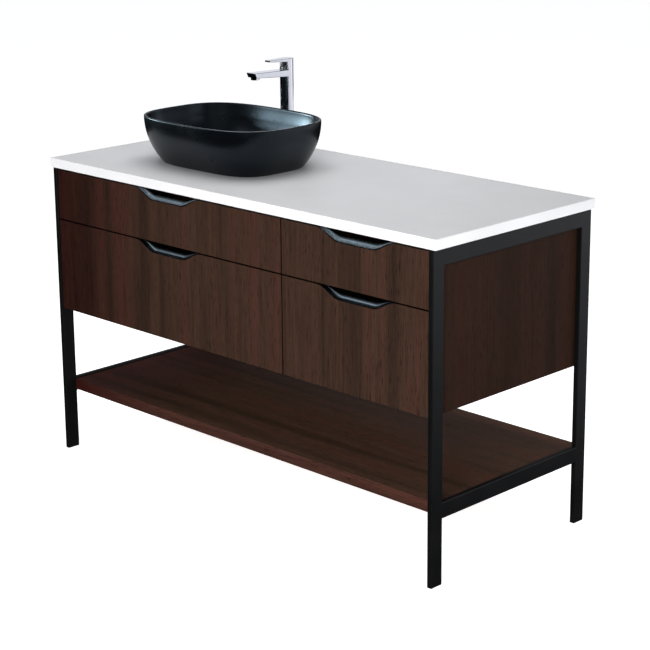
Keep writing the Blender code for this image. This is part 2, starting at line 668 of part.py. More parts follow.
def build_lever(swivel):
    """The lever's round head sits on the body's ball face and carries a thin flat blade."""
    top = TOP_HEIGHT + TAP_TOTAL
    hinge = pivot("tap_lever_hinge", (BASIN_X, TAP_Y, PIVOT_Z), swivel)
    socket = dome_profile(DOME_RADIUS + 0.0005, (TAP_RADIUS, 0.0))
    profile = [(0.0, top), (TAP_RADIUS - 0.0012, top), (TAP_RADIUS, top - 0.0012)] + socket
    lever = turned("tap_lever", profile, CHROME, (BASIN_X, TAP_Y, 0.0), hinge, closed=False)
    blade = box_mesh("blade", (SPOUT_WIDTH, LEVER_REACH, BLADE_THICKNESS))
    for vert in blade.vertices:
        if vert.co.y < 0:
            vert.co.x *= BLADE_TAPER
            if vert.co.z < 0:
                vert.co.z += BLADE_THICKNESS / 2
    blade = helper_mesh("blade", blade, (BASIN_X, TAP_Y - LEVER_REACH / 2, top - BLADE_THICKNESS / 2))
    ease = blade.modifiers.new("soft edges", "BEVEL")
    ease.width = 0.0012
    ease.segments = 2
    ease.limit_method = "ANGLE"
    fuse(lever, blade)
    cut(lever, helper_cylinder("spindle hole", SPINDLE_RADIUS + GAP, PIVOT_Z, PIVOT_Z + 0.0265,
                               (BASIN_X, TAP_Y), 24))
    place("lever_spindle", cylinder_mesh("lever_spindle", SPINDLE_RADIUS, 0.0290, 24), STEEL,
          (BASIN_X, TAP_Y, PIVOT_Z + 0.0115), hinge)


# ---------------------------------------------------------------- the whole object
def build():
    build_top()
    build_side_frame("left", -1)
    build_side_frame("right", 1)
    build_carcass()
    build_shelf()
    build_drawers()
    build_basin()
    build_waste()
    build_tap_body()
    build_aerator()
    build_lever(build_tap_inside())


clear_scene()
PARTS = new_collection("vessel_sink_vanity")
CUTTERS = new_collection("cutters", hidden=True)
WHITE_TOP = principled("white solid surface", (0.82, 0.82, 0.84), 0.35)
BLACK_STEEL = principled("black powder-coated steel", (0.010, 0.011, 0.013), 0.45)
VENEER = principled("dark oak veneer", (0.040, 0.026, 0.021), 0.50)
GREY_METAL = principled("satin grey metal", (0.30, 0.36, 0.40), 0.30, 1.0)
BIRCH = principled("birch ply", (0.62, 0.50, 0.34), 0.55)
ZINC = principled("zinc-plated steel", (0.55, 0.56, 0.58), 0.35, 1.0)
BLACK_CERAMIC = principled("matt black ceramic", (0.014, 0.017, 0.022), 0.40)
CHROME = principled("chrome", (0.80, 0.80, 0.82), 0.08, 1.0)
BRASS = principled("brass", (0.70, 0.50, 0.22), 0.30, 1.0)
STEEL = principled("bright steel", (0.60, 0.60, 0.62), 0.25, 1.0)
WHITE_PLASTIC = principled("white acetal", (0.80, 0.80, 0.78), 0.45)
build()
bpy.context.view_layer.update()
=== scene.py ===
import math

import bmesh
import bpy
from bpy.props import FloatProperty, FloatVectorProperty, IntProperty, PointerProperty
from mathutils import Matrix, Vector


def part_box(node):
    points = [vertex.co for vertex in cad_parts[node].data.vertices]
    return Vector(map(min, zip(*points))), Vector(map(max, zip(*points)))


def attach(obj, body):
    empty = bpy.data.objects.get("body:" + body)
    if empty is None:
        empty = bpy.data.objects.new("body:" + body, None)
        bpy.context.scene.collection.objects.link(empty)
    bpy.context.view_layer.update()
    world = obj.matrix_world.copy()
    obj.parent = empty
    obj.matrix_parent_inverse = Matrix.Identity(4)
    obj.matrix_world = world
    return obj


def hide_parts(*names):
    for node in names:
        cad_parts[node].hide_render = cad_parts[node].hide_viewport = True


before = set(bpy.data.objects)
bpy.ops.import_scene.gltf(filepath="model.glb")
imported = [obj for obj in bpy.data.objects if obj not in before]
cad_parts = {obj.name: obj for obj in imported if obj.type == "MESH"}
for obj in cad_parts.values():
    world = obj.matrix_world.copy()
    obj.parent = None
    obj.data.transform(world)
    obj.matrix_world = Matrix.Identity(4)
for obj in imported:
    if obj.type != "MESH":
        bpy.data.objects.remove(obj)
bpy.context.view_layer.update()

bl_info = {
    "name": "Basin vanity",
    "version": (1, 0, 0),
    "blender": (4, 5, 0),
    "location": "3D View > Sidebar > Vanity",
    "description": "Builds the finished pieces of a bathroom vanity round its engineering model",
    "category": "Add Mesh",
}

MM = 0.001
ROWS = ("upper", "lower")
COLUMNS = ("left", "right")
ROW_PITCH = 0.866          # a hexagonal grid's row spacing, as a share of its pitch


# ---------------------------------------------------------------- colour and nodes
def linear(code, alpha=1.0):
    """An sRGB hex colour as the linear one that shaders take."""
    parts = [int(code[i:i + 2], 16) / 255.0 for i in (1, 3, 5)]
    return tuple(c / 12.92 if c <= 0.04045 else ((c + 0.055) / 1.055) ** 2.4 for c in parts) + (alpha,)


def add(tree, kind, settings=None, inputs=None):
    """Adds a node, sets its properties, and gives each input a value or a link."""
    made = tree.nodes.new(kind)
    for name, value in (settings or {}).items():
        setattr(made, name, value)
    for key, value in (inputs or {}).items():
        if isinstance(value, bpy.types.NodeSocket):
            tree.links.new(value, made.inputs[key])
        else:
            made.inputs[key].default_value = value
    return made


def noise(tree, place, scale, detail=2.0, roughness=0.5):
    return add(tree, "ShaderNodeTexNoise", inputs={"Vector": place, "Scale": scale, "Detail": detail,
                                                   "Roughness": roughness}).outputs[0]


def stretch(tree, place, scale):
    return add(tree, "ShaderNodeMapping", inputs={"Vector": place, "Scale": scale}).outputs[0]


def remap(tree, value, low, high, to_low=0.0, to_high=1.0, curve="LINEAR"):
    """The value's range from low to high, laid on another range."""
    return add(tree, "ShaderNodeMapRange", {"interpolation_type": curve},
               {0: value, "From Min": low, "From Max": high, "To Min": to_low, "To Max": to_high}).outputs[0]


def calc(tree, operation, *values):
    return add(tree, "ShaderNodeMath", {"operation": operation}, dict(enumerate(values))).outputs[0]


def mix(tree, share, below, above, kind="MULTIPLY"):
    return add(tree, "ShaderNodeMix", {"data_type": "RGBA", "blend_type": kind},
               {0: share, 6: below, 7: above}).outputs[2]


def ramp(tree, share, *stops):
    """A colour ramp with these (position, colour) stops."""
    made = add(tree, "ShaderNodeValToRGB", inputs={0: share})
    elements = made.color_ramp.elements
    while len(elements) < len(stops):
        elements.new(0.5)
    for element, (position, colour) in zip(elements, stops):
        element.position = position
        element.color = colour
    return made.outputs[0]


def cover(tree, shader, colour, rough, specular=0.5, relief=None):
    """Gives the shader its colour, its roughness as a number or a pattern, and its relief as
    (height, strength, depth)."""
    tree.links.new(colour, shader.inputs["Base Color"])
    if isinstance(rough, float):
        shader.inputs["Roughness"].default_value = rough
    else:
        tree.links.new(rough, shader.inputs["Roughness"])
    if relief:
        height, strength, depth = relief
        bump = add(tree, "ShaderNodeBump",
                   inputs={"Strength": strength, "Distance": depth, "Height": height})
        tree.links.new(bump.outputs[0], shader.inputs["Normal"])
    shader.inputs["Specular IOR Level"].default_value = specular


def finish_of(name, build):
    """The material of that name, made the first time by build(tree, shader, place)."""
    found = bpy.data.materials.get(name)
    if found:
        return found
    made = bpy.data.materials.new(name)
    made.use_nodes = True
    tree = made.node_tree
    tree.nodes.clear()
    shader = add(tree, "ShaderNodeBsdfPrincipled")
    add(tree, "ShaderNodeOutputMaterial", inputs={"Surface": shader.outputs[0]})
    build(tree, shader, add(tree, "ShaderNodeTexCoord").outputs["Object"])
    return made


# ---------------------------------------------------------------- finishes
PORE_BLACK = "#0e0806"
LEFT_END_PAINTED_SHADE = (0.60, 0.22, 0.24, 1.0)      # painted shade: what the veneer's colour is multiplied by at the left end, where less light and sheen fall
PLY = 1.4 * MM
UPRIGHT = (0.0, 0.0, 0.0)
LENGTHWISE = (0.0, math.pi / 2, 0.0)


def veneer(name, grain, dark, middle, red, sheen=0.12):
    """Open-pored oak veneer stained wenge under a satin lacquer. It reads as nearly black brown with
    redder and greyer bands, and short dark pores along the grain. grain is the turn that lays the
    grain, which runs along the pattern's Z, on the board."""
    def build(tree, shader, place):
        turned = add(tree, "ShaderNodeMapping", inputs={"Vector": place, "Rotation": grain}).outputs[0]
        # Bands 25 to 60 mm wide that run the whole board, bent a little as sawn figure is.
        bend = add(tree, "ShaderNodeTexNoise",
                   inputs={"Vector": stretch(tree, turned, (3.0, 3.0, 1.6)), "Scale": 1.0, "Detail": 2.0})
        bent = add(tree, "ShaderNodeVectorMath", {"operation": "MULTIPLY_ADD"},
                   {0: bend.outputs["Color"], 1: (0.012, 0.012, 0.0), 2: turned}).outputs[0]
        bands = noise(tree, stretch(tree, bent, (24.0, 24.0, 0.55)), 1.0, 3.0, 0.55)
        base = ramp(tree, bands, (0.34, linear(dark)), (0.50, linear(middle)), (0.66, linear(red)))
        # Fibre bundles 2 to 4 mm wide and about 120 mm long.
        fibres = noise(tree, stretch(tree, bent, (330.0, 330.0, 8.0)), 1.0, 3.0, 0.6)
        streaked = mix(tree, 1.0, base, remap(tree, fibres, 0.3, 0.72, 0.72, 1.24))
        # Pores: really 0.3 mm wide and 5 mm long, drawn 1.5 mm by 22 mm so that they show at this size.
        pore_noise = noise(tree, stretch(tree, bent, (620.0, 620.0, 46.0)), 1.0, 1.0, 0.4)
        pores = remap(tree, pore_noise, 0.60, 0.70, curve="SMOOTHSTEP")
        pored = mix(tree, calc(tree, "MULTIPLY", pores, 0.62), streaked, linear(PORE_BLACK), "MIX")
        # Painted shade: redder and darker towards the left end, standing in for the key light and sheen that fall
        # off there.
        along = add(tree, "ShaderNodeSeparateXYZ", inputs={0: place}).outputs[0]
        colour = mix(tree, remap(tree, along, -0.20, -0.62, 0.0, 0.9, "SMOOTHSTEP"), pored, LEFT_END_PAINTED_SHADE)
        height = calc(tree, "MULTIPLY_ADD", pores, -1.0, fibres)
        cover(tree, shader, colour, remap(tree, fibres, 0.3, 0.7, 0.46, 0.60), sheen,
              (height, 0.35, 0.08 * MM))
    return finish_of(name, build)


def veneer_upright():
    return veneer("wenge_stained_oak_veneer_upright", UPRIGHT, "#2f2018", "#39271d", "#40261e")


def side_veneer_painted_shade():
    """The end panels, painted darker than the fronts: painted shade for the sides, which get less light."""
    return veneer("wenge_stained_oak_veneer_end_panel", UPRIGHT, "#23160f", "#2a1a13", "#2d1a13", 0.05)


def lengthwise_veneer_painted_light():
    # Painted light: much lighter than the upright veneer, standing in for light and sheen on the shelf top, and
    # used on the bottom and rails too.
    return veneer("wenge_stained_oak_veneer_lengthwise", LENGTHWISE, "#4a372c", "#584236", "#5f4034")


def painted_shade_edge():
    """Edges of the fronts, stained, and darkened nearly black as painted shade so that the gaps read as dark
    lines.
    """
    return veneer("wenge_stained_sealed_edge", UPRIGHT, "#120b09", "#160e0b", "#1a0f0c")


def veneer_edging():
    """The same veneer as a 1 mm edging strip, a little lighter and redder than the fronts, as it looks."""
    return veneer("wenge_stained_oak_edging", LENGTHWISE, "#352019", "#43271f", "#4b2a22")


def solid_surface():
    """Acrylic solid surface, cast and sanded to a fine matt: an even cool white with a soft haze."""
    def build(tree, shader, place):
        cloud = noise(tree, place, 9.0, 4.0)
        body = ramp(tree, cloud, (0.35, linear("#dcdee2")), (0.65, linear("#e0e2e6")))
        # Filler grains of about 1.5 mm, barely darker than the resin.
        grains = add(tree, "ShaderNodeTexVoronoi", inputs={"Vector": place, "Scale": 650.0}).outputs[0]
        colour = mix(tree, 1.0, body, remap(tree, grains, 0.10, 0.3, 0.985, 1.0))
        cover(tree, shader, colour, remap(tree, cloud, 0.3, 0.7, 0.46, 0.54), 0.35,
              (noise(tree, place, 2400.0), 0.12, 0.02 * MM))
    return finish_of("cast_solid_surface_sanded", build)


def mottled(name, spots, tones, polish, relief=None, specular=0.5, edge=0.3, tint=None, metallic=0.0):
    """A finish whose tone and polish wander over soft spots. spots is their noise's (scale, detail),
    tones two sRGB colours, polish two roughnesses or one, relief a finer noise's (scale, detail,
    strength, depth)."""
    def build(tree, shader, place):
        patch = noise(tree, place, *spots)
        colour = ramp(tree, patch, (edge, linear(tones[0])), (1.0 - edge, linear(tones[1])))
        rough = polish if isinstance(polish, float) else remap(tree, patch, 0.3, 0.7, *polish)
        if relief:
            cover(tree, shader, colour, rough, specular, (noise(tree, place, *relief[:2]), *relief[2:]))
        else:
            cover(tree, shader, colour, rough, specular)
        if tint:
            shader.inputs["Specular Tint"].default_value = linear(tint)
        shader.inputs["Metallic"].default_value = metallic
    return finish_of(name, build)


def powder_coat():
    """Matt black polyester powder coat on steel: orange peel with cells of 0.8 to 1.2 mm breaks up what
    it reflects."""
    return mottled("powder_coated_steel_matt_black", (14.0, 3.0), ("#090a0b", "#0c0d0f"), (0.42, 0.50),
                   (1000.0, 1.5, 0.20, 0.03 * MM), 0.30)


def black_glaze():
    """Fired matt black glaze on vitreous china: dark blue-black, silky, with a broad soft sheen. The
    matt comes from crystals; grains of 0.7 mm stand in for ones a tenth of that."""
    return mottled("vitreous_china_matt_black_glaze", (22.0, 4.0), ("#040508", "#06080b"), (0.23, 0.28),
                   (1400.0, 2.0, 0.10, 0.02 * MM), 0.36, tint="#cfe4f5")


def metal(name, low, high, polish, spot_scale, strength=0.0, grain_scale=1500.0):
    """A metal with spots of one size and, where strength isn't 0, a fine grain."""
    relief = (grain_scale, 2.0, strength, 0.02 * MM) if strength else None
    return mottled(name, (spot_scale, 3.0), (low, high), polish, relief, edge=0.32, metallic=1.0)


def chrome():
    """Polished chrome plate on brass: a near-perfect mirror, a touch cool, with faint wipe marks."""
    return metal("polished_chrome_plate", "#d3d5da", "#dcdde1", (0.035, 0.065), 40.0)


def anodised():
    """Bead-blasted aluminium anodised blue grey: a soft highlight that fades fast to dark."""
    return metal("anodised_aluminium_blue_grey", "#8b9aa3", "#94a4ad", (0.24, 0.28), 60.0, 0.25, 1300.0)


def zinc():
    """Bright zinc plate on cold-rolled steel: cool grey with the crystal bloom of 4 mm spangles."""
    return metal("zinc_plated_steel", "#9fa3a6", "#bcc0c2", (0.26, 0.42), 260.0, 0.15)


def brass():
    """Turned brass, bare and slightly dulled: yellow with duller patches where it was handled."""
    return metal("turned_brass", "#9c7a3c", "#c09a55", (0.22, 0.38), 120.0, 0.10)


def stainless():
    """Ground stainless steel: a neutral grey with a close satin."""
    return metal("ground_stainless_steel", "#a9aaac", "#bdbebf", (0.20, 0.30), 200.0, 0.10)


def acetal():
    """Moulded white acetal: an even waxy white with a soft gloss."""
    return mottled("moulded_acetal_white", (180.0, 2.0), ("#dedcd4", "#e8e7e1"), 0.38)


def birch_ply(name, layer_axis):
    """Birch plywood stained dark to match the fronts. Its faces have a faint long figure; where
    layer_axis is 0 or 1 it is an edge instead, with its plies stacked along X or Y."""
    def build(tree, shader, place):
        if layer_axis is None:
            share = noise(tree, stretch(tree, place, (14.0, 14.0, 90.0)), 1.0, 4.0, 0.6)
            stops = (0.34, linear("#32241b")), (0.66, linear("#40302a"))
        else:
            across = add(tree, "ShaderNodeSeparateXYZ", inputs={0: place}).outputs[layer_axis]
            waves = calc(tree, "SINE", calc(tree, "MULTIPLY", across, math.pi / PLY))
            share = remap(tree, waves, -1.0, 1.0)
            stops = (0.40, linear("#2c1e16")), (0.55, linear("#57402d"))
        cover(tree, shader, ramp(tree, share, *stops), 0.46, relief=(share, 0.2, 0.05 * MM))
    return finish_of(name, build)


# ---------------------------------------------------------------- shapes
def evaluated_mesh(obj):
    """The object's mesh as its modifiers leave it."""
    bpy.context.view_layer.update()
    graph = bpy.context.evaluated_depsgraph_get()
    return bpy.data.meshes.new_from_object(obj.evaluated_get(graph))


def mesh_object(name, bm, smooth=True):
    """A linked object holding the bmesh, which is freed."""
    mesh = bpy.data.meshes.new(name)
    bm.to_mesh(mesh)
    bm.free()
    if smooth:
        mesh.shade_smooth()
    obj = bpy.data.objects.new(name, mesh)
    bpy.context.scene.collection.objects.link(obj)
    return obj


def settle(obj, body, nodes, slot, *materials):
    """Fixes a piece's shape as a plain mesh, gives it its finish and body, and retires the nodes it stands for."""
    if obj.modifiers:
        mesh = evaluated_mesh(obj)
        obj.modifiers.clear()
        obj.data = mesh
    if materials:
        obj.data.materials.clear()
        for material in materials:
            obj.data.materials.append(material)
    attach(obj, body)
    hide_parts(*nodes)
    return obj


def round_edges(obj, width, segments=3, angle=40.0):
    bevel = obj.modifiers.new("rounded edges", "BEVEL")
    bevel.width = width
    bevel.segments = segments
    bevel.limit_method = "ANGLE"
    bevel.angle_limit = math.radians(angle)
    bevel.harden_normals = True
    return obj


def block_bmesh(low, high):
    bm = bmesh.new()
    size = [b - a for a, b in zip(low, high)]
    middle = [(a + b) / 2 for a, b in zip(low, high)]
    bmesh.ops.create_cube(bm, size=1.0,
                          matrix=Matrix.Translation(middle) @ Matrix.Diagonal((*size, 1.0)))
    return bm


def prism_bmesh(outline, low_y, high_y):
    """A flat outline of (x, z) points, drawn out along Y."""
    bm = bmesh.new()
    front = [bm.verts.new((x, low_y, z)) for x, z in outline]
    back = [bm.verts.new((x, high_y, z)) for x, z in outline]
    bm.faces.new(front)
    bm.faces.new(back[::-1])
    for i in range(len(outline)):
        j = (i + 1) % len(outline)
        bm.faces.new((front[j], front[i], back[i], back[j]))
    bmesh.ops.recalc_face_normals(bm, faces=bm.faces)
    return bm


def lathe_bmesh(profile, centre, sides=96, closed=True):
    """Radius and height pairs turned about a vertical line, from the top down the outside."""
    bm = bmesh.new()
    loops = []
    for radius, z in profile:
        if radius < 1e-7:
            loops.append([bm.verts.new((centre[0], centre[1], z))])
            continue
        loops.append([bm.verts.new((centre[0] + radius * math.cos(2 * math.pi * i / sides),
                                    centre[1] + radius * math.sin(2 * math.pi * i / sides), z))
                      for i in range(sides)])
    pairs = list(zip(loops, loops[1:] + loops[:1])) if closed else list(zip(loops, loops[1:]))
    for upper, lower in pairs:
        for i in range(sides):
            j = (i + 1) % sides
            if len(upper) == 1 and len(lower) == 1:
                continue
            if len(upper) == 1:
                bm.faces.new((upper[0], lower[i], lower[j]))
            elif len(lower) == 1:
                bm.faces.new((upper[i], lower[0], upper[j]))
            else:
                bm.faces.new((upper[i], lower[i], lower[j], upper[j]))
    bmesh.ops.recalc_face_normals(bm, faces=bm.faces)
    return bm


def rounded(corner, before, after, radius, steps=4):
    """Points that round a profile's corner between its two neighbours."""
    corner, before, after = Vector(corner), Vector(before), Vector(after)
    start = corner + (before - corner).normalized() * radius
    end = corner + (after - corner).normalized() * radius
    points = []
    for i in range(steps + 1):
        t = i / steps
        points.append(tuple(start * (1 - t) ** 2 + corner * 2 * t * (1 - t) + end * t ** 2))
    return points


def rounded_profile(points, radii, closed=True):
    """The profile with each corner rounded by its own radius, 0 leaving it as it is."""
    made = []
    count = len(points)
    for i, (point, radius) in enumerate(zip(points, radii)):
        if not radius or (not closed and i in (0, count - 1)):
            made.append(point)
        else:
            made += rounded(point, points[i - 1], points[(i + 1) % count], radius)
    return made


def smooth_by_angle(obj, degrees=35.0):
    """Smooth shading with sharp corners kept, and large faces setting the normals beside small ones."""
    obj.data.shade_smooth()
    obj.data.set_sharp_from_angle(angle=math.radians(degrees))
    weighted = obj.modifiers.new("large faces lead", "WEIGHTED_NORMAL")
    weighted.keep_sharp = True
    weighted.weight = 90
    return obj


def lathe(name, points, radii, centre, body, slot, material, sides=96, closed=True, nodes=None):
    """A turned piece: its profile's corners rounded by their radii, standing for its own node or these."""
    bm = lathe_bmesh(rounded_profile(points, radii, closed), centre, sides, closed)
    return settle(smooth_by_angle(mesh_object(name, bm)), body, nodes or [name], slot, material)


def apply_shape(obj):
    """Makes what obj's modifiers give its own mesh."""
    obj.data = evaluated_mesh(obj)
    obj.modifiers.clear()
    return obj


def combine(obj, operation, *others):
    """Cuts the other objects out of obj, or unites them with it, and deletes them."""
    for other in others:
        modifier = obj.modifiers.new("combine", "BOOLEAN")
        modifier.operation = operation
        modifier.solver = "EXACT"
        modifier.object = other
    apply_shape(obj)
    for other in others:
        bpy.data.objects.remove(other, do_unlink=True)
    return obj


def cylinder(name, radius, low, high, centre, sides=96):
    return mesh_object(name, lathe_bmesh([(0.0, high), (radius, high), (radius, low), (0.0, low)],
                                         centre, sides, closed=False))


# ---------------------------------------------------------------- settings
def length(name, description, default):
    return FloatProperty(name=name, description=description, default=default, subtype="DISTANCE",
                         unit="LENGTH")


class VanityBoards(bpy.types.PropertyGroup):
    ease: length("Board ease", "Radius on the edges of boards and drawer fronts", 0.6 * MM)
    top_ease: length("Top edge", "Radius on the edges of the top", 1.2 * MM)
    tube_corner: length("Tube corner", "Outside corner radius of the frame tube", 1.7 * MM)


class VanityScoop(bpy.types.PropertyGroup):
    mouth: length("Scoop length", "Length of a finger scoop at its mouth", 0.210)
    flat: length("Scoop floor", "Length of a finger scoop's level floor", 0.088)
    depth: length("Scoop depth", "Depth of a finger scoop", 0.021)
    seat: length("Lip seat", "Room under the metal lip", 1.8 * MM)
    sheet: length("Lip sheet", "Thickness of the metal lip", 1.0 * MM)
    rise: length("Lip rise", "How far the lip curls up behind", 0.010)
    reach: length("Lip reach", "How far the lip goes back", 0.0090)


class VanityBasin(bpy.types.PropertyGroup):
    rim_squareness: FloatProperty(name="Rim squareness", description="2 is an oval, more is squarer",
                                  default=3.1)
    foot_squareness: FloatProperty(name="Foot squareness", description="2 is an oval, more is squarer",
                                   default=3.7)
    foot_half_width: length("Foot half width", "Half of the foot's width", 0.1630)
    foot_half_depth: length("Foot half depth", "Half of the foot's depth", 0.1105)
    wall: length("Wall", "Thickness of the wall below the rim", 8.5 * MM)
    rim_wall: length("Rim", "Thickness of the rim", 5.5 * MM)
    floor: length("Floor", "Thickness of the floor", 14.0 * MM)
    fillet: length("Floor fillet", "Radius between wall and floor", 24.0 * MM)
    bulge: FloatProperty(name="Bulge", description="How late the outside draws in towards the foot",
                         default=2.1)
    drain: length("Drain radius", "Radius of the hole for the waste", 22.5 * MM)


class VanityTap(bpy.types.PropertyGroup):
    column: length("Column radius", "Radius of the tap's column", 16.0 * MM)
    pivot_drop: length("Pivot drop", "From the seam down to the lever's pivot", 8.0 * MM)
    aerator_cells: IntProperty(name="Aerator cells", description="Cells across the aerator's grid",
                               default=9)


class VanityRunner(bpy.types.PropertyGroup):
    groove: length("Ball groove", "Radius of the groove the balls run in", 1.6 * MM)
    recess: length("Recess", "How deep the bar is hollowed for its screws", 7.0 * MM)
    screws: IntProperty(name="Screws", description="Screws along each runner", default=4)


class VanityStage(bpy.types.PropertyGroup):
    lens: FloatProperty(name="Lens", description="Focal length on a 36 mm sensor", default=100.17)
    camera_place: FloatVectorProperty(name="Camera", description="Where the camera stands", size=3,
                                      default=(2.7877, -2.7418,
                                               1.5222), subtype="TRANSLATION", unit="LENGTH")
    camera_turn: FloatVectorProperty(name="Camera turn", description="Yaw, pitch down and roll", size=3,
                                     default=(math.radians(44.9), math.radians(14.3), math.radians(-0.5)),
                                     subtype="EULER", unit="ROTATION")
    floor_colour: FloatVectorProperty(name="Floor", description="Colour of the floor", size=3,
                                      subtype="COLOR",
                                      default=linear("#f4f4f5")[:3])


# ---------------------------------------------------------------- top and frames
class VANITY_OT_top(bpy.types.Operator):
    """The white top: a sanded slab with its two holes and softly rounded edges."""
    bl_idname = "vanity.top"
    bl_label = "Top"

    def execute(self, context):
        low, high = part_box("countertop")
        top = mesh_object("countertop_slab", block_bmesh(low, high))
        waste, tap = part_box("waste_backnut"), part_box("tap_backnut")
        holes = []
        for name, (a, b), radius in (("waste hole", waste, 24.0 * MM), ("tap hole", tap, 17.5 * MM)):
            centre = ((a.x + b.x) / 2, (a.y + b.y) / 2)
            holes.append(cylinder(name, radius, low.z - 2 * MM, high.z + 2 * MM, centre))
        combine(top, "DIFFERENCE", *holes)
        round_edges(top, context.scene.vanity_boards.top_ease, 4)
        settle(top, "base", ["countertop"], "white_top", solid_surface())
        return {"FINISHED"}


class VANITY_OT_frames(bpy.types.Operator):
    """The two side frames: rectangular tube, welded, ground flush and powder coated as one."""
    bl_idname = "vanity.frames"
    bl_label = "Side frames"

    def execute(self, context):
        for side in ("left", "right"):
            nodes = [f"{side}_{part}" for part in ("front_leg", "rear_leg", "top_rail", "lower_rail")]
            front, rear, top, lower = [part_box(node) for node in nodes]
            across = (front[0].x, front[1].x)
            ys = (front[0].y, front[1].y, rear[0].y, rear[1].y)
            zs = (front[0].z, lower[0].z, lower[1].z, top[0].z, top[1].z)
            filled = {(0, k) for k in range(4)} | {(2, k) for k in range(4)} | {(1, 1), (1, 3)}
            bm = bmesh.new()
            sheets = [{(j, k): bm.verts.new((x, y, z)) for j, y in enumerate(ys) for k, z in enumerate(zs)}
                      for x in across]
            for j, k in filled:
                ring = [(j, k), (j + 1, k), (j + 1, k + 1), (j, k + 1)]
                for sheet in sheets:
                    bm.faces.new([sheet[c] for c in ring])
                sides = (((j, k - 1), ring[0], ring[1]), ((j + 1, k), ring[1], ring[2]),
                         ((j, k + 1), ring[2], ring[3]), ((j - 1, k), ring[3], ring[0]))
                for neighbour, a, b in sides:
                    if neighbour not in filled:
                        bm.faces.new([sheets[0][a], sheets[0][b], sheets[1][b], sheets[1][a]])
            bmesh.ops.delete(bm, geom=[v for v in bm.verts if not v.link_faces], context="VERTS")
            bmesh.ops.recalc_face_normals(bm, faces=bm.faces)
            piece = round_edges(mesh_object(f"{side}_side_frame", bm),
                                context.scene.vanity_boards.tube_corner, 4)
            settle(piece, "base", nodes, "black_steel", powder_coat())
        return {"FINISHED"}


# ---------------------------------------------------------------- cabinet
class VANITY_OT_cabinet(bpy.types.Operator):
    """The carcass boards and the open shelf, veneered, with eased edges."""
    bl_idname = "vanity.cabinet"
    bl_label = "Cabinet and shelf"

    def execute(self, context):
        ease = context.scene.vanity_boards.ease
        ends = ("cabinet_left_side", "cabinet_right_side")
        upright = ("cabinet_partition", "cabinet_back_panel")
        along = ("cabinet_bottom", "cabinet_front_rail", "cabinet_rear_rail")
        for names, material in ((ends, side_veneer_painted_shade()), (upright, veneer_upright()),
                                (along, lengthwise_veneer_painted_light())):
            for node in names:
                board = round_edges(mesh_object(f"{node}_board", block_bmesh(*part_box(node))), ease, 2)
                settle(board, "base", [node], "dark_veneer", material)
        shelf = round_edges(mesh_object("shelf_board", block_bmesh(*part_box("shelf"))), 1.0 * MM, 3)
        settle(shelf, "base", ["shelf"], "dark_veneer", lengthwise_veneer_painted_light(), veneer_edging())
        for face in shelf.data.polygons:
            face.material_index = 1 if abs(face.normal.z) < 0.5 else 0
        return {"FINISHED"}


def scoop_level(scoop, x, spare=0.0):
    """How far a scoop's floor lies under the front's top edge, at x from its middle."""
    mouth = scoop.mouth / 2 + 2.0 * spare
    flat = scoop.flat / 2 + spare
    t = min(max((mouth - abs(x)) / (mouth - flat), 0.0), 1.0)
    return -(scoop.depth + spare) * t * t * (3.0 - 2.0 * t)


class VANITY_OT_fronts(bpy.types.Operator):
    """The four drawer fronts, each with a finger scoop in its top edge."""
    bl_idname = "vanity.fronts"
    bl_label = "Drawer fronts"

    def execute(self, context):
        scoop = context.scene.vanity_scoop
        steps = 120
        for row in ROWS:
            for column in COLUMNS:
                name = f"{row}_{column}"
                low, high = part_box(f"{name}_drawer_front")
                lip_low, lip_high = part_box(f"{name}_handle_lip")
                middle = (lip_low.x + lip_high.x) / 2
                mouth = scoop.mouth / 2 + 2.0 * scoop.seat
                outline = [(low.x, low.z), (high.x, low.z), (high.x, high.z)]
                for i in range(steps + 1):
                    x = mouth - 2.0 * mouth * i / steps
                    outline.append((middle + x, high.z + scoop_level(scoop, x, scoop.seat)))
                outline.append((low.x, high.z))
                bm = prism_bmesh(outline, low.y, high.y)
                piece = round_edges(mesh_object(f"{name}_front_panel", bm),
                                    context.scene.vanity_boards.ease, 2)
                settle(piece, f"{name}_drawer", [f"{name}_drawer_front"], "dark_veneer", veneer_upright(),
                       painted_shade_edge())
                for face in piece.data.polygons:
                    face.material_index = 1 if abs(face.normal.y) < 0.5 else 0
        return {"FINISHED"}


# ---------------------------------------------------------------- node trees
def new_tree(name, **sockets):
    """A Geometry Nodes tree with named inputs, listed by their kind, and what it is given at them."""
    tree = bpy.data.node_groups.new(name, "GeometryNodeTree")
    inputs = [("Geometry", "Geometry")]
    inputs += [(socket, kind) for kind,
               names in sockets.items() for socket in names] + [("Finish", "Material")]
    for socket, kind in inputs:
        tree.interface.new_socket(socket, in_out="INPUT", socket_type=f"NodeSocket{kind}")
    tree.interface.new_socket("Geometry", in_out="OUTPUT", socket_type="NodeSocketGeometry")
    return tree, add(tree, "NodeGroupInput").outputs


def close_tree(tree, geometry, finish):
    """Realises the instances, sets the material and sends the result out."""
    real = add(tree, "GeometryNodeRealizeInstances", inputs={"Geometry": geometry})
    named = add(tree, "GeometryNodeSetMaterial", inputs={"Geometry": real.outputs[0], "Material": finish})
    add(tree, "NodeGroupOutput", inputs={0: named.outputs[0]})
    return tree


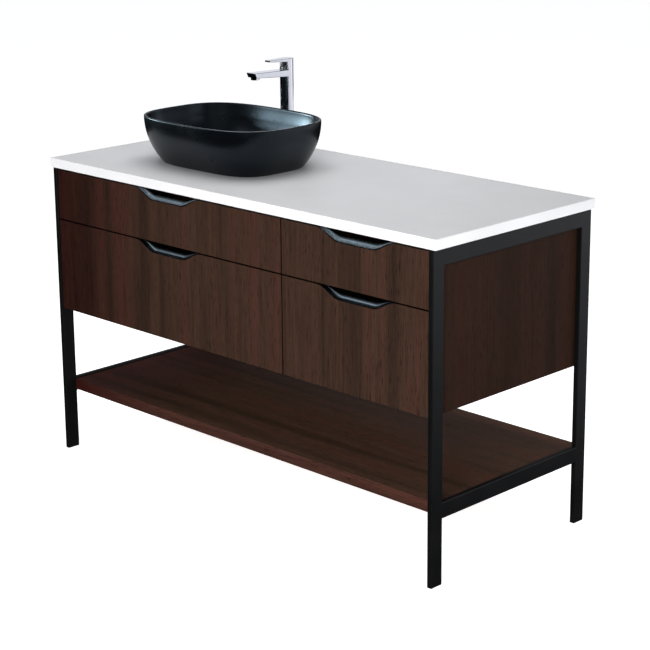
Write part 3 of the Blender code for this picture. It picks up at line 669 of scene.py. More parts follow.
def lip_tree():
    """Geometry Nodes: a thin sheet that follows the scoop, level at the front and curling up behind."""
    tree, given = new_tree("scoop lip", Float=("Length", "Mouth", "Flat", "Depth", "Rise", "Reach", "Sheet"),
                           Vector=("Place",))
    grid = add(tree, "GeometryNodeMeshGrid", inputs={"Size X": 1.0, "Size Y": 1.0, "Vertices X": 161,
                                                     "Vertices Y": 25})
    spot = add(tree, "ShaderNodeSeparateXYZ", inputs={0: add(tree, "GeometryNodeInputPosition").outputs[0]})
    x = calc(tree, "MULTIPLY", spot.outputs[0], given["Length"])
    angle = calc(tree, "MULTIPLY", calc(tree, "ADD", spot.outputs[1], 0.5), math.pi / 2)
    half_mouth = calc(tree, "MULTIPLY", given["Mouth"], 0.5)
    half_flat = calc(tree, "MULTIPLY", given["Flat"], 0.5)
    deep = remap(tree, calc(tree, "ABSOLUTE", x), half_mouth, half_flat, curve="SMOOTHSTEP")
    lifted = calc(tree, "SUBTRACT", 1.0, calc(tree, "COSINE", angle))
    rise = calc(tree, "MULTIPLY", lifted, calc(tree, "MULTIPLY", deep, given["Rise"]))
    y = calc(tree, "MULTIPLY", calc(tree, "SINE", angle), given["Reach"])
    z = calc(tree, "SUBTRACT", rise, calc(tree, "MULTIPLY", deep, given["Depth"]))
    shaped = add(tree, "ShaderNodeCombineXYZ", inputs={0: x, 1: y, 2: z}).outputs[0]
    placed = add(tree, "ShaderNodeVectorMath", {"operation": "ADD"},
                 {0: shaped, 1: given["Place"]}).outputs[0]
    sheet = add(tree, "GeometryNodeSetPosition", inputs={"Geometry": grid.outputs[0], "Position": placed})
    down = calc(tree, "MULTIPLY", given["Sheet"], -1.0)
    thick = add(tree, "GeometryNodeExtrudeMesh", {"mode": "FACES"},
                {"Mesh": sheet.outputs[0], "Offset Scale": down, "Individual": False})
    joined = add(tree, "GeometryNodeJoinGeometry", inputs={0: sheet.outputs[0]})
    tree.links.new(thick.outputs[0], joined.inputs[0])
    closed = add(tree, "GeometryNodeMergeByDistance",
                 inputs={"Geometry": joined.outputs[0], "Distance": 1e-6})
    return close_tree(tree, closed.outputs[0], given["Finish"])


def honeycomb_tree():
    """Geometry Nodes: small hexagonal tubes on a staggered grid, kept inside a circle."""
    tree, given = new_tree("aerator cells", Int=("Across",), Float=("Radius", "Depth"), Vector=("Place",))
    gaps = calc(tree, "SUBTRACT", given["Across"], 1.0)
    width = calc(tree, "MULTIPLY", given["Radius"], 2.0)
    pitch = calc(tree, "DIVIDE", width, gaps)
    grid = add(tree, "GeometryNodeMeshGrid", inputs={
        "Size X": width, "Size Y": calc(tree, "MULTIPLY", width, ROW_PITCH),
        "Vertices X": given["Across"], "Vertices Y": given["Across"]})
    spot = add(tree, "ShaderNodeSeparateXYZ", inputs={0: add(tree, "GeometryNodeInputPosition").outputs[0]})
    row = calc(tree, "ROUND",
               calc(tree, "DIVIDE", spot.outputs[1], calc(tree, "MULTIPLY", pitch, ROW_PITCH)))
    shift = calc(tree, "MULTIPLY", calc(tree, "FLOORED_MODULO", row, 2.0),
                 calc(tree, "MULTIPLY", pitch, 0.5))
    offset = add(tree, "ShaderNodeCombineXYZ", inputs={0: shift}).outputs[0]
    staggered = add(tree, "GeometryNodeSetPosition", inputs={"Geometry": grid.outputs[0], "Offset": offset})
    reach = add(tree, "ShaderNodeVectorMath", {"operation": "LENGTH"},
                {0: add(tree, "GeometryNodeInputPosition").outputs[0]}).outputs["Value"]
    edge = calc(tree, "SUBTRACT", given["Radius"], calc(tree, "MULTIPLY", pitch, 0.62))
    far = add(tree, "FunctionNodeCompare", {"data_type": "FLOAT", "operation": "GREATER_THAN"},
              {0: reach, 1: edge}).outputs[0]
    kept = add(tree, "GeometryNodeDeleteGeometry", {"domain": "POINT"},
               {"Geometry": staggered.outputs[0], "Selection": far})
    hexagon = add(tree, "GeometryNodeCurvePrimitiveCircle",
                  inputs={"Resolution": 6, "Radius": calc(tree, "MULTIPLY", pitch, 0.5)})
    wall = add(tree, "GeometryNodeCurvePrimitiveQuadrilateral",
               inputs={0: calc(tree, "MULTIPLY", pitch, 0.12), 1: given["Depth"]})
    tube = add(tree, "GeometryNodeCurveToMesh",
               inputs={0: hexagon.outputs[0], "Profile Curve": wall.outputs[0]})
    cells = add(tree, "GeometryNodeInstanceOnPoints",
                inputs={"Points": kept.outputs[0], "Instance": tube.outputs[0]})
    placed = add(tree, "GeometryNodeTransform",
                 inputs={"Geometry": cells.outputs[0], "Translation": given["Place"]})
    return close_tree(tree, placed.outputs[0], given["Finish"])


def screws_tree():
    """Geometry Nodes: a row of pan-head screws along Y, each a tapered head with a cross recess."""
    tree, given = new_tree("runner screws", Int=("Count",), Float=("Head Radius", "Head Height"),
                           Vector=("Start", "End", "Facing"))
    line = add(tree, "GeometryNodeMeshLine", {"mode": "END_POINTS"},
               {"Count": given["Count"], "Start Location": given["Start"]})
    tree.links.new(given["End"], line.inputs["Offset"])
    head = add(tree, "GeometryNodeMeshCone", inputs={
        "Vertices": 24, "Side Segments": 1, "Fill Segments": 1,
        "Radius Top": calc(tree, "MULTIPLY", given["Head Radius"], 0.62),
        "Radius Bottom": given["Head Radius"], "Depth": given["Head Height"]})
    cut_head = add(tree, "GeometryNodeMeshBoolean", {"operation": "DIFFERENCE", "solver": "EXACT"},
                   {0: head.outputs[0]})
    size = add(tree, "ShaderNodeCombineXYZ", inputs={
        0: calc(tree, "MULTIPLY", given["Head Radius"], 0.85),
        1: calc(tree, "MULTIPLY", given["Head Radius"], 0.22),
        2: calc(tree, "MULTIPLY", given["Head Height"], 1.2)}).outputs[0]
    lift = add(tree, "ShaderNodeCombineXYZ", inputs={2: given["Head Height"]}).outputs[0]
    for turn in (0.0, math.pi / 2):
        bar = add(tree, "GeometryNodeMeshCube", inputs={"Size": size})
        moved = add(tree, "GeometryNodeTransform", inputs={
            "Geometry": bar.outputs[0], "Rotation": (0.0, 0.0, turn), "Translation": lift})
        tree.links.new(moved.outputs[0], cut_head.inputs[1])
    facing = add(tree, "FunctionNodeAlignRotationToVector", {"axis": "Z"}, {"Vector": given["Facing"]})
    placed = add(tree, "GeometryNodeInstanceOnPoints",
                 inputs={"Points": line.outputs[0], "Instance": cut_head.outputs[0],
                         "Rotation": facing.outputs[0]})
    return close_tree(tree, placed.outputs[0], given["Finish"])


# ---------------------------------------------------------------- handle lips
def grow(name, tree, values):
    """Runs a node tree on an empty mesh with these named inputs, and returns the result as a plain mesh."""
    obj = bpy.data.objects.new(name, bpy.data.meshes.new(name))
    bpy.context.scene.collection.objects.link(obj)
    modifier = obj.modifiers.new(tree.name, "NODES")
    modifier.node_group = tree
    sockets = {item.name: item.identifier for item in tree.interface.items_tree if item.in_out == "INPUT"}
    for key, value in values.items():
        modifier[sockets[key]] = value
    mesh = evaluated_mesh(obj)
    obj.modifiers.clear()
    obj.data = mesh
    return obj


def tidy_normals(obj):
    """Makes every face point outwards."""
    bm = bmesh.new()
    bm.from_mesh(obj.data)
    bmesh.ops.recalc_face_normals(bm, faces=bm.faces)
    bm.to_mesh(obj.data)
    bm.free()
    return obj


class VANITY_OT_lips(bpy.types.Operator):
    """The four anodised lips that line the scoops."""
    bl_idname = "vanity.lips"
    bl_label = "Handle lips"

    def execute(self, context):
        scoop = context.scene.vanity_scoop
        tree = lip_tree()
        for row in ROWS:
            for column in COLUMNS:
                name = f"{row}_{column}"
                low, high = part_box(f"{name}_handle_lip")
                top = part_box(f"{name}_drawer_front")[1].z
                piece = grow(f"{name}_grip", tree, {
                    "Length": high.x - low.x, "Mouth": scoop.mouth, "Flat": scoop.flat, "Depth": scoop.depth,
                    "Rise": scoop.rise, "Reach": scoop.reach, "Sheet": scoop.sheet,
                    "Place": ((low.x + high.x) / 2, low.y, top), "Finish": anodised()})
                smooth_by_angle(tidy_normals(piece), 50.0)
                settle(piece, f"{name}_drawer", [f"{name}_handle_lip"], "grey_metal", anodised())
        return {"FINISHED"}


# ---------------------------------------------------------------- drawer boxes and runners
class VANITY_OT_trays(bpy.types.Operator):
    """The plywood trays behind the fronts: faces stained, edges showing their plies."""
    bl_idname = "vanity.trays"
    bl_label = "Drawer boxes"

    def execute(self, context):
        faces = birch_ply("birch_plywood_face", None)
        edge_x = birch_ply("birch_plywood_edge_across", 0)
        edge_y = birch_ply("birch_plywood_edge_along", 1)
        for row in ROWS:
            for column in COLUMNS:
                node = f"{row}_{column}_drawer_box"
                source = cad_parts[node]
                bm = bmesh.new()
                bm.from_mesh(source.data)
                bmesh.ops.remove_doubles(bm, verts=bm.verts, dist=1e-5)
                bmesh.ops.dissolve_limit(bm, angle_limit=math.radians(1.0), verts=bm.verts, edges=bm.edges)
                bmesh.ops.recalc_face_normals(bm, faces=bm.faces)
                tray = round_edges(mesh_object(f"{row}_{column}_tray", bm), 0.5 * MM, 2)
                settle(tray, f"{row}_{column}_drawer", [node], "birch_ply", faces, edge_x, edge_y)
                low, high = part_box(node)
                for face in tray.data.polygons:
                    if face.normal.z < 0.9 or face.center.z < high.z - 1.0 * MM:
                        face.material_index = 0
                        continue
                    end = min(face.center.y - low.y, high.y - face.center.y) < 12.0 * MM
                    face.material_index = 2 if end else 1
        return {"FINISHED"}


# ---------------------------------------------------------------- basin
class VANITY_OT_basin(bpy.types.Operator):
    """The soft-cornered basin, black glaze inside and out."""
    bl_idname = "vanity.basin"
    bl_label = "Basin"

    def execute(self, context):
        shape = context.scene.vanity_basin
        low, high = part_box("basin")
        centre = ((low.x + high.x) / 2, (low.y + high.y) / 2)
        height = high.z - low.z
        rim = ((high.x - low.x) / 2, (high.y - low.y) / 2, shape.rim_squareness)
        foot = (shape.foot_half_width, shape.foot_half_depth, shape.foot_squareness)
        sides = 256

        def outside(z):
            t = ((height - z) / height) ** shape.bulge
            return [r + (f - r) * t for r, f in zip(rim, foot)]

        def ring(half_x, half_y, power, z):
            points = []
            for i in range(sides):
                angle = 2.0 * math.pi * i / sides
                c, s = math.cos(angle), math.sin(angle)
                points.append((centre[0] + half_x * math.copysign(abs(c) ** (2.0 / power), c),
                               centre[1] + half_y * math.copysign(abs(s) ** (2.0 / power), s), low.z + z))
            return points

        def inset_ring(z, inset):
            half_x, half_y, power = outside(z)
            return ring(half_x - inset, half_y - inset, power, z)

        rings = [ring(shape.drain, shape.drain, 2.0, 0.0), inset_ring(0.0, 6.0 * MM)]
        for i in range(5):                                        # small round at the foot
            turn = math.pi / 2 * i / 4
            rings.append(inset_ring(1.5 * MM * (1 - math.cos(turn)), 1.5 * MM * (1 - math.sin(turn))))
        crown = shape.rim_wall / 2
        for i in range(1, 33):
            rings.append(inset_ring(1.5 * MM + (height - crown - 1.5 * MM) * i / 32, 0.0))
        for i in range(1, 16):                                    # the rounded rim
            turn = math.pi * i / 16
            rings.append(inset_ring(height - crown * (1 - math.sin(turn)), crown * (1 - math.cos(turn))))
        fillet_top = shape.floor + shape.fillet
        for i in range(25):
            z = height - crown - (height - crown - fillet_top) * i / 24
            share = min(1.0, (height - z) / 0.030)
            rings.append(inset_ring(z, shape.rim_wall + (shape.wall - shape.rim_wall) * share))
        half_x, half_y, power = outside(fillet_top)
        for i in range(1, 17):
            turn = math.pi / 2 * i / 16
            inset = shape.wall + 1.5 * shape.fillet * (1.0 - math.cos(turn))
            rings.append(ring(half_x - inset, half_y - inset, power,
                              fillet_top - (shape.fillet - 3.0 * MM) * math.sin(turn)))
        inner = (half_x - inset, half_y - inset, power)
        drop_from = shape.floor + 3.0 * MM
        for i in range(1, 17):                                    # the floor falls gently to the waste
            t = i / 16
            ease = t * t * (3.0 - 2.0 * t)
            sizes = [a + (b - a) * t for a, b in zip(inner, (0.036, 0.036, 2.0))]
            rings.append(ring(*sizes, drop_from - 3.0 * MM * ease))
        rings.append(ring(shape.drain, shape.drain, 2.0, shape.floor))
        bm = bmesh.new()
        loops = [[bm.verts.new(point) for point in points] for points in rings]
        for a, b in zip(loops, loops[1:] + loops[:1]):
            for i in range(sides):
                j = (i + 1) % sides
                bm.faces.new((a[i], a[j], b[j], b[i]))
        bmesh.ops.recalc_face_normals(bm, faces=bm.faces)
        settle(smooth_by_angle(mesh_object("basin_bowl", bm), 50.0), "base", ["basin"], "black_ceramic",
               black_glaze())
        return {"FINISHED"}


# ---------------------------------------------------------------- waste
class VANITY_OT_waste(bpy.types.Operator):
    """The click-up waste: flange, domed cap and tailpiece."""
    bl_idname = "vanity.waste"
    bl_label = "Waste"

    def execute(self, context):
        low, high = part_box("waste_body")
        centre = ((low.x + high.x) / 2, (low.y + high.y) / 2)
        seat = high.z - 3.0 * MM
        thread_low, pitch = low.z + 2.0 * MM, 2.3 * MM
        points = [(16.3 * MM, high.z), (30.0 * MM, high.z), (31.0 * MM, seat + 1.2 * MM), (31.0 * MM, seat),
                  (21.5 * MM, seat)]
        radii = [0.6 * MM, 0.8 * MM, 0.5 * MM, 0.2 * MM, 0.0]
        turns = int((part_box("countertop")[0].z - thread_low) / pitch)
        for i in range(turns, 0, -1):                             # thread ridges below the top
            z = thread_low + i * pitch
            points += [(21.5 * MM, z), (20.9 * MM, z - pitch * 0.5)]
            radii += [0.0, 0.0]
        points += [(21.5 * MM, low.z + 1.0 * MM), (20.8 * MM, low.z), (16.6 * MM, low.z), (16.6 * MM, seat)]
        radii += [0.0, 0.0, 0.0, 0.0]
        lathe("waste_flange", points, radii, centre, "base", "chrome", chrome(), nodes=["waste_body"])
        low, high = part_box("waste_plug")
        cap = high.z - 5.0 * MM
        dome = [(28.5 * MM * math.sin(a), high.z - 3.2 * MM * (1 - math.cos(a)) / (1 - math.cos(1.25)))
                for a in [1.25 * i / 14 for i in range(15)]]
        scale = 28.3 * MM / dome[-1][0]
        points = [(r * scale, z) for r, z in dome] + [(28.5 * MM, cap + 1.0 * MM),
                                                      (28.3 * MM, cap + 0.2 * MM),
                                                      (27.9 * MM, cap), (4.0 * MM, cap),
                                                      (4.0 * MM, low.z), (0.0, low.z)]
        lathe("waste_cap", points, [0.0] * len(points), centre, "plug", "chrome", chrome(), closed=False,
              nodes=["waste_plug"])
        low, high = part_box("waste_tailpiece")
        points = [(14.6 * MM, high.z), (16.0 * MM, high.z), (16.0 * MM, low.z), (14.6 * MM, low.z)]
        lathe("waste_tail_tube", points, [0.3 * MM, 0.5 * MM, 0.5 * MM, 0.3 * MM], centre, "base", "chrome",
              chrome(), nodes=["waste_tailpiece"])
        return {"FINISHED"}


# ---------------------------------------------------------------- tap
def rounded_bar(name, outline, half_width):
    """A bar drawn from its side as (y, z) points, with its own half width at each point."""
    bm = bmesh.new()
    sides = []
    for sign in (-1, 1):
        sides.append([bm.verts.new((sign * half, y, z)) for (y, z), half in zip(outline, half_width)])
    bm.faces.new(sides[0])
    bm.faces.new(sides[1][::-1])
    for i in range(len(outline)):
        j = (i + 1) % len(outline)
        bm.faces.new((sides[0][j], sides[0][i], sides[1][i], sides[1][j]))
    bmesh.ops.recalc_face_normals(bm, faces=bm.faces)
    return apply_shape(round_edges(mesh_object(name, bm), 1.2 * MM, 3, 30.0))


class VANITY_OT_tap(bpy.types.Operator):
    """The tall mixer: column and spout, lever, aerator and what passes through the top."""
    bl_idname = "vanity.tap"
    bl_label = "Tap"

    def execute(self, context):
        tap = context.scene.vanity_tap
        low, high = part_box("tap_body")
        head_low, head_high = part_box("tap_lever")
        shank_low, shank_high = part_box("tap_shank")
        centre = ((shank_low.x + shank_high.x) / 2, (shank_low.y + shank_high.y) / 2)
        column = tap.column
        seam = head_high.z - 25.5 * MM
        pivot = seam - tap.pivot_drop
        ball = math.hypot(column, tap.pivot_drop)
        # Column with its domed end, and a flange at its foot.
        profile = [(column * i / 10,
                    pivot + math.sqrt(ball ** 2 - (column * i / 10) ** 2)) for i in range(11)]
        profile += rounded_profile(
            [(column, seam), (column, low.z + 9.0 * MM), (22.5 * MM, low.z + 5.2 * MM), (22.5 * MM, low.z),
             (0.0, low.z)], [0.0, 2.4 * MM, 1.0 * MM, 0.4 * MM, 0.0], closed=False)[1:]
        body = mesh_object("tap_column_and_spout", lathe_bmesh(profile, centre, 128, closed=False))
        reach = centre[1] - low.y
        top = seam - 0.7 * MM
        tip = seam + 2.0 * MM
        outline = [(0.0, seam - 16.5 * MM), (-16.0 * MM, seam - 16.0 * MM),
                   (-reach + 5.0 * MM, tip - 11.5 * MM),
                   (-reach, tip), (-10.0 * MM, top), (0.0, top)]
        outline = [(centre[1] + y, z) for y, z in outline]
        spout = rounded_bar("spout", outline, [15.0 * MM] * len(outline))
        spout.data.transform(Matrix.Translation((centre[0], 0.0, 0.0)))
        combine(body, "UNION", spout)
        aerator_low, aerator_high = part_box("tap_aerator")
        outlet = ((aerator_low.x + aerator_high.x) / 2, (aerator_low.y + aerator_high.y) / 2)
        radius = (aerator_high.x - aerator_low.x) / 2
        combine(body, "DIFFERENCE",
              cylinder("outlet", radius + 0.3 * MM, low.z + 0.150, aerator_high.z + 0.5 * MM, outlet, 64),
              cylinder("chamber", 12.5 * MM, seam - 45.0 * MM, seam + 30.0 * MM, centre, 64),
              cylinder("bore", 12.3 * MM, low.z - 2.0 * MM, low.z + 12.0 * MM, centre, 64))
        settle(smooth_by_angle(body, 32.0), "base", ["tap_body"], "chrome", chrome())
        # Aerator ring.
        points = [(7.0 * MM, aerator_high.z), (radius, aerator_high.z), (radius, aerator_low.z),
                  (7.0 * MM, aerator_low.z)]
        lathe("aerator_ring", points, [0.2 * MM, 0.2 * MM, 0.8 * MM, 0.8 * MM], outlet, "base", "chrome",
              chrome(),
              64, nodes=["tap_aerator"])
        cells = grow("aerator_cells", honeycomb_tree(), {
            "Across": tap.aerator_cells, "Radius": 6.9 * MM, "Depth": 3.0 * MM,
            "Place": (*outlet, aerator_low.z + 3.0 * MM), "Finish": acetal()})
        settle(tidy_normals(cells), "base", [], "white_plastic", acetal())
        # Lever: a round head hollowed to sit on the ball, and a blade that thins and narrows.
        socket = ball + 0.5 * MM
        reach = centre[1] - head_low.y
        profile = rounded_profile([(0.0, head_high.z), (column, head_high.z),
                                   (column, pivot + math.sqrt(socket ** 2 - column ** 2))],
                                  [0.0, 1.4 * MM, 0.0], closed=False)
        profile += [(column * i / 10, pivot + math.sqrt(socket ** 2 - (column * i / 10) ** 2))
                    for i in range(9, -1, -1)]
        lever = mesh_object("tap_lever_handle", lathe_bmesh(profile, centre, 128, closed=False))
        blade_top = head_high.z
        outline = [(0.0, blade_top - 8.2 * MM), (-reach, blade_top - 4.1 * MM), (-reach, blade_top),
                   (0.0, blade_top)]
        outline = [(centre[1] + y, z) for y, z in outline]
        blade = rounded_bar("blade", outline, [15.0 * MM, 8.4 * MM, 8.4 * MM, 15.0 * MM])
        blade.data.transform(Matrix.Translation((centre[0], 0.0, 0.0)))
        combine(lever, "UNION", blade)
        combine(lever, "DIFFERENCE",
                cylinder("spindle hole", 3.3 * MM, pivot, pivot + 26.5 * MM, centre, 48))
        settle(smooth_by_angle(lever, 32.0), "tap_handle", ["tap_lever"], "chrome", chrome())
        # Threaded shank and the two supply tails.
        for node, body_name, material, slot, pitch in (
                ("tap_shank", "base", brass(), "brass", 1.5 * MM),
                ("hot_inlet", "base", chrome(), "chrome", 1.0 * MM),
                ("cold_inlet", "base", chrome(), "chrome", 1.0 * MM)):
            a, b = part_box(node)
            middle = ((a.x + b.x) / 2, (a.y + b.y) / 2)
            outer = (b.x - a.x) / 2
            inner = outer - (2.0 * MM if node == "tap_shank" else 1.2 * MM)
            points, z = [(inner, b.z), (outer, b.z)], a.z + 34.0 * MM
            depth = pitch * 0.25
            while z > a.z + pitch:
                points += [(outer, z), (outer - depth, z - pitch / 2)]
                z -= pitch
            points += [(outer, z), (outer - depth, a.z), (inner, a.z)]
            lathe(f"{node}_threaded", points, [0.0] * len(points), middle, body_name, slot, material, 48,
                  nodes=[node])
        return {"FINISHED"}


# ---------------------------------------------------------------- runners and small pieces
class VANITY_OT_runners(bpy.types.Operator):
    """The sliding halves of the drawer runners: a rolled bar with ball grooves, screwed to the tray."""
    bl_idname = "vanity.runners"
    bl_label = "Runner slides"

    def execute(self, context):
        runner = context.scene.vanity_runner
        tree = screws_tree()
        for row in ROWS:
            for column in COLUMNS:
                for side, inward in (("l", 1.0), ("r", -1.0)):
                    name = f"{row}_{column}_runner_{side}"
                    body = f"{row}_{column}_drawer"
                    low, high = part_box(f"{name}_slide")
                    wall_x = low.x if inward > 0 else high.x
                    middle = (low.z + high.z) / 2
                    half, thick = (high.z - low.z) / 2, high.x - low.x
                    groove = [(thick * 0.5 + runner.groove * math.cos(math.pi * i / 8),
                               half - runner.groove * math.sin(math.pi * i / 8)) for i in range(9)]
                    profile = [(0.0, half - 5.0 * MM), (0.0, half - 0.8 * MM), (0.8 * MM, half)]
                    profile += groove[::-1] + [(thick - 0.8 * MM, half), (thick, half - 0.8 * MM)]
                    profile += [(u, -v) for u, v in profile[::-1]]
                    profile += [(runner.recess, 5.0 * MM - half), (runner.recess, half - 5.0 * MM)]
                    outline = [(wall_x + inward * u, middle + v) for u, v in profile]
                    bar = round_edges(mesh_object(f"{name}_bar", prism_bmesh(outline, low.y, high.y)),
                                      0.25 * MM, 1)
                    settle(bar, body, [f"{name}_slide"], "zinc_steel", zinc())
                    x = wall_x + inward * runner.recess
                    screws = grow(f"{name}_screws", tree, {
                        "Count": runner.screws, "Head Radius": 3.4 * MM, "Head Height": 1.7 * MM,
                        "Start": (x, low.y + 28.0 * MM, middle), "End": (x, high.y - 28.0 * MM, middle),
                        "Facing": (-inward, 0.0, 0.0), "Finish": stainless()})
                    settle(smooth_by_angle(screws, 30.0), body, [], "bright_steel", stainless())
        return {"FINISHED"}


class VANITY_OT_small_metal(bpy.types.Operator):
    """Better finishes on the small engineering pieces whose shape is already right."""
    bl_idname = "vanity.small_metal"
    bl_label = "Small pieces"

    def execute(self, context):
        finishes = {"waste_backnut": brass(), "tap_backnut": brass(), "cartridge_carrier": brass(),
                    "tap_cartridge": acetal(), "lever_spindle": stainless()}
        for row in ROWS:
            for column in COLUMNS:
                for side in ("l", "r"):
                    finishes[f"{row}_{column}_runner_{side}_channel"] = zinc()
        for node, material in finishes.items():
            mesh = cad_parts[node].data
            mesh.materials.clear()
            mesh.materials.append(material)
        return {"FINISHED"}


# ---------------------------------------------------------------- stage
KEY = ((1.9, -3.0, 1.35), (0.1, 0.0, 0.5), (1.5, 1.5))         # where it stands, what it faces, its size
OVERHEAD = ((-0.3, 0.2, 3.1), (-0.1, 0.0, 0.7), (2.4, 2.0))
BASIN = (-0.14, 0.13, 0.83)
TAP = (-0.2, 0.1, 0.88)
BOWL_ONLY = ("basin_bowl",)
TAP_ONLY = ("tap_column_and_spout", "tap_lever_handle", "aerator_ring")
DIFFUSE_LAMPS = (
    ("key", *KEY, 92.0, "#fffaf4"),
    ("overhead", *OVERHEAD, 42.0, "#fffdfb"),
    ("side fill", (3.4, 0.2, 0.9), (0.6, 0.0, 0.6), (1.4, 1.0), 14.0, "#fffdfb"))
# Each of these is the bright patch that some piece mirrors. The last item names the only pieces lit.
MIRRORED_LAMPS = (
    ("key sheen", *KEY, 42.0, "#fffaf4", ()),
    ("overhead sheen", *OVERHEAD, 30.0, "#ffffff", ()),
    ("basin window", (-2.2, -1.07, 1.14), BASIN, (1.3, 0.45), 31.0, "#cfe6ef", BOWL_ONLY),
    ("basin bright end", (-2.34, -0.8, 1.14), BASIN, (0.65, 0.45), 29.0, "#cfe6ef", BOWL_ONLY),
    ("rim strip", (-1.45, 1.35, 2.6), (-0.2, 0.1, 0.83), (1.6, 0.9), 44.0, "#eef2f8", BOWL_ONLY),
    ("handle strip", (-2.0, -2.2, 2.5), (0.0, -0.2, 0.6), (1.8, 0.8), 4.6, "#eaf0f6", ()),
    ("right panel", (1.9, 1.25, 0.90), TAP, (3.6, 1.5), 17.0, "#f6f8ff", ()),
    ("tap top panel", (-1.0, 0.95, 1.2), (-0.2, 0.1, 0.9), (1.2, 0.4), 1.4, "#f6f8ff", ()),
    ("back panel", (0.7, 2.6, 0.90), TAP, (1.8, 1.2), 4.0, "#f6f8ff", ()),
    ("tap left panel", (-1.65, 1.75, 0.24), (-0.2, 0.1, 0.85), (3.0, 0.5), 7.0, "#f4f6fa", TAP_ONLY),
    ("ground glow", (1.9, 1.7, 0.01), (1.9, 1.7, 2.0), (2.2, 2.2), 4.6, "#f4f6fa", ()))
FELT_WALLS = (((-2.1, -2.1), -45.0, 3.0, 1.0), ((-2.2, 2.3), 45.0, 3.0, 1.7))   # place, turn, width, height


def area_light(name, place, target, size, power, colour):
    data = bpy.data.lights.new(name, "AREA")
    data.shape = "RECTANGLE"
    data.size, data.size_y = size
    data.energy = power
    data.color = linear(colour)[:3]
    lamp = bpy.data.objects.new(name, data)
    bpy.context.scene.collection.objects.link(lamp)
    lamp.location = place
    lamp.rotation_euler = (Vector(target) - Vector(place)).to_track_quat("-Z", "Y").to_euler()
    lamp.visible_camera = False
    return lamp


def light_only(lamp, names):
    """Makes the lamp light these pieces and nothing else."""
    lit = bpy.data.collections.new(lamp.name + " receivers")
    for name in names:
        lit.objects.link(bpy.data.objects[name])
    lamp.light_linking.receiver_collection = lit


def stand_camera(scene, stage):
    yaw, pitch, roll = stage.camera_turn
    ahead = Vector((-math.sin(yaw) * math.cos(pitch), math.cos(yaw) * math.cos(pitch), -math.sin(pitch)))
    right = Vector((math.cos(yaw), math.sin(yaw), 0.0))
    up = right.cross(ahead)
    right, up = (math.cos(roll) * right + math.sin(roll) * up, math.cos(roll) * up - math.sin(roll) * right)
    data = bpy.data.cameras.new("camera")
    data.sensor_width = 36.0
    data.lens = stage.lens
    data.shift_y = -0.1
    data.clip_end = 200.0
    camera = bpy.data.objects.new("camera", data)
    scene.collection.objects.link(camera)
    turn = Matrix((right, up, -ahead)).transposed().to_4x4()
    camera.matrix_world = Matrix.Translation(stage.camera_place) @ turn
    scene.camera = camera


def pale_floor(stage):
    """A matt white floor that glows a little, so that it stays even out to the horizon."""
    def build(tree, shader, place):
        tone = noise(tree, place, 1.5, 3.0)
        colour = ramp(tree, tone, (0.3, (*[c * 0.985 for c in stage.floor_colour], 1.0)),
                      (0.7, (*stage.floor_colour, 1.0)))
        cover(tree, shader, colour, 0.8, 0.1)
        shader.inputs["Emission Color"].default_value = (1.0, 1.0, 1.0, 1.0)
        shader.inputs["Emission Strength"].default_value = 0.82
    floor = mesh_object("floor", block_bmesh((-40.0, -40.0, -0.05), (40.0, 40.0, 0.0)), smooth=False)
    floor.data.materials.append(finish_of("studio_floor_matt_white", build))
    return floor


def dark_cards():
    """Felt on the ground all round, and low walls of it. Only reflections see it: dark pieces stay dark
    while the floor still lights them."""
    felt = block_bmesh((-30.0, -30.0, 0.001), (30.0, 30.0, 0.003))
    for place, turn, width, top in FELT_WALLS:
        wall = block_bmesh((-width / 2, -0.01, 0.01), (width / 2, 0.01, top))
        wall.transform(Matrix.Translation((*place, 0.0)) @ Matrix.Rotation(math.radians(turn), 4, "Z"))
        mesh = bpy.data.meshes.new("wall")
        wall.to_mesh(mesh)
        wall.free()
        felt.from_mesh(mesh)
    card = mesh_object("dark cards", felt, smooth=False)
    card.data.materials.append(mottled("studio_card_black_felt", (300.0, 2.0), ("#050505", "#080808"), 0.95,
                                       specular=0.0))
    card.visible_camera = card.visible_diffuse = card.visible_shadow = card.visible_transmission = False
    return card


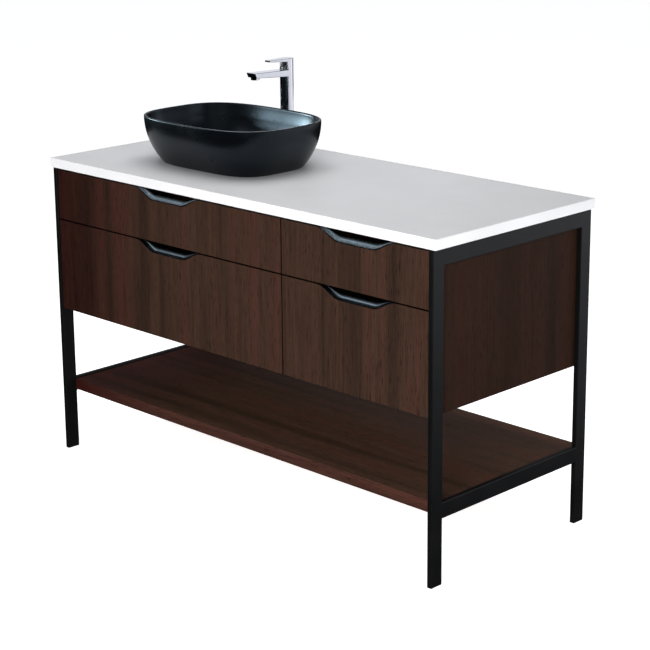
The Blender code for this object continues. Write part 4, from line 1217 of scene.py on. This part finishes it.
class VANITY_OT_stage(bpy.types.Operator):
    """Camera, soft lights, dark cards for the reflections and the pale floor."""
    bl_idname = "vanity.stage"
    bl_label = "Stage"

    def execute(self, context):
        scene = context.scene
        stand_camera(scene, scene.vanity_stage)
        scene.view_settings.view_transform = "Standard"
        floor = pale_floor(scene.vanity_stage)
        card = dark_cards()
        world = bpy.data.worlds.new("studio")
        world.use_nodes = True
        background = world.node_tree.nodes["Background"].inputs
        background["Color"].default_value = linear("#f1f4f8")
        background["Strength"].default_value = 0.22
        scene.world = world
        for lamp in DIFFUSE_LAMPS:
            area_light(*lamp).visible_glossy = False
        for *lamp, only in MIRRORED_LAMPS:
            lamp = area_light(*lamp)
            lamp.visible_diffuse = False
            if only:
                light_only(lamp, only)
        return {"FINISHED"}


# ---------------------------------------------------------------- panel and registration
PIECES = (VANITY_OT_top, VANITY_OT_frames, VANITY_OT_cabinet, VANITY_OT_fronts, VANITY_OT_lips,
          VANITY_OT_trays,
          VANITY_OT_basin, VANITY_OT_waste, VANITY_OT_tap, VANITY_OT_runners, VANITY_OT_small_metal,
          VANITY_OT_stage)
SETTINGS = {"vanity_boards": VanityBoards, "vanity_scoop": VanityScoop, "vanity_basin": VanityBasin,
            "vanity_tap": VanityTap, "vanity_runner": VanityRunner, "vanity_stage": VanityStage}


class VANITY_PT_panel(bpy.types.Panel):
    """Lists the settings and the pieces."""
    bl_idname = "VANITY_PT_panel"
    bl_label = "Vanity"
    bl_space_type = "VIEW_3D"
    bl_region_type = "UI"
    bl_category = "Vanity"

    def draw(self, context):
        for name, group in SETTINGS.items():
            box = self.layout.box()
            for prop in group.__annotations__:
                box.prop(getattr(context.scene, name), prop)
        for piece in PIECES:
            self.layout.operator(piece.bl_idname)


def register():
    for group in SETTINGS.values():
        bpy.utils.register_class(group)
    for name, group in SETTINGS.items():
        setattr(bpy.types.Scene, name, PointerProperty(type=group))
    for piece in PIECES:
        bpy.utils.register_class(piece)
    bpy.utils.register_class(VANITY_PT_panel)


def unregister():
    bpy.utils.unregister_class(VANITY_PT_panel)
    for piece in reversed(PIECES):
        bpy.utils.unregister_class(piece)
    for name in SETTINGS:
        delattr(bpy.types.Scene, name)
    for group in reversed(list(SETTINGS.values())):
        bpy.utils.unregister_class(group)


def main():
    register()
    for piece in PIECES:
        group, name = piece.bl_idname.split(".")
        getattr(getattr(bpy.ops, group), name)()
    bpy.context.view_layer.update()


if __name__ == "__main__":
    main()
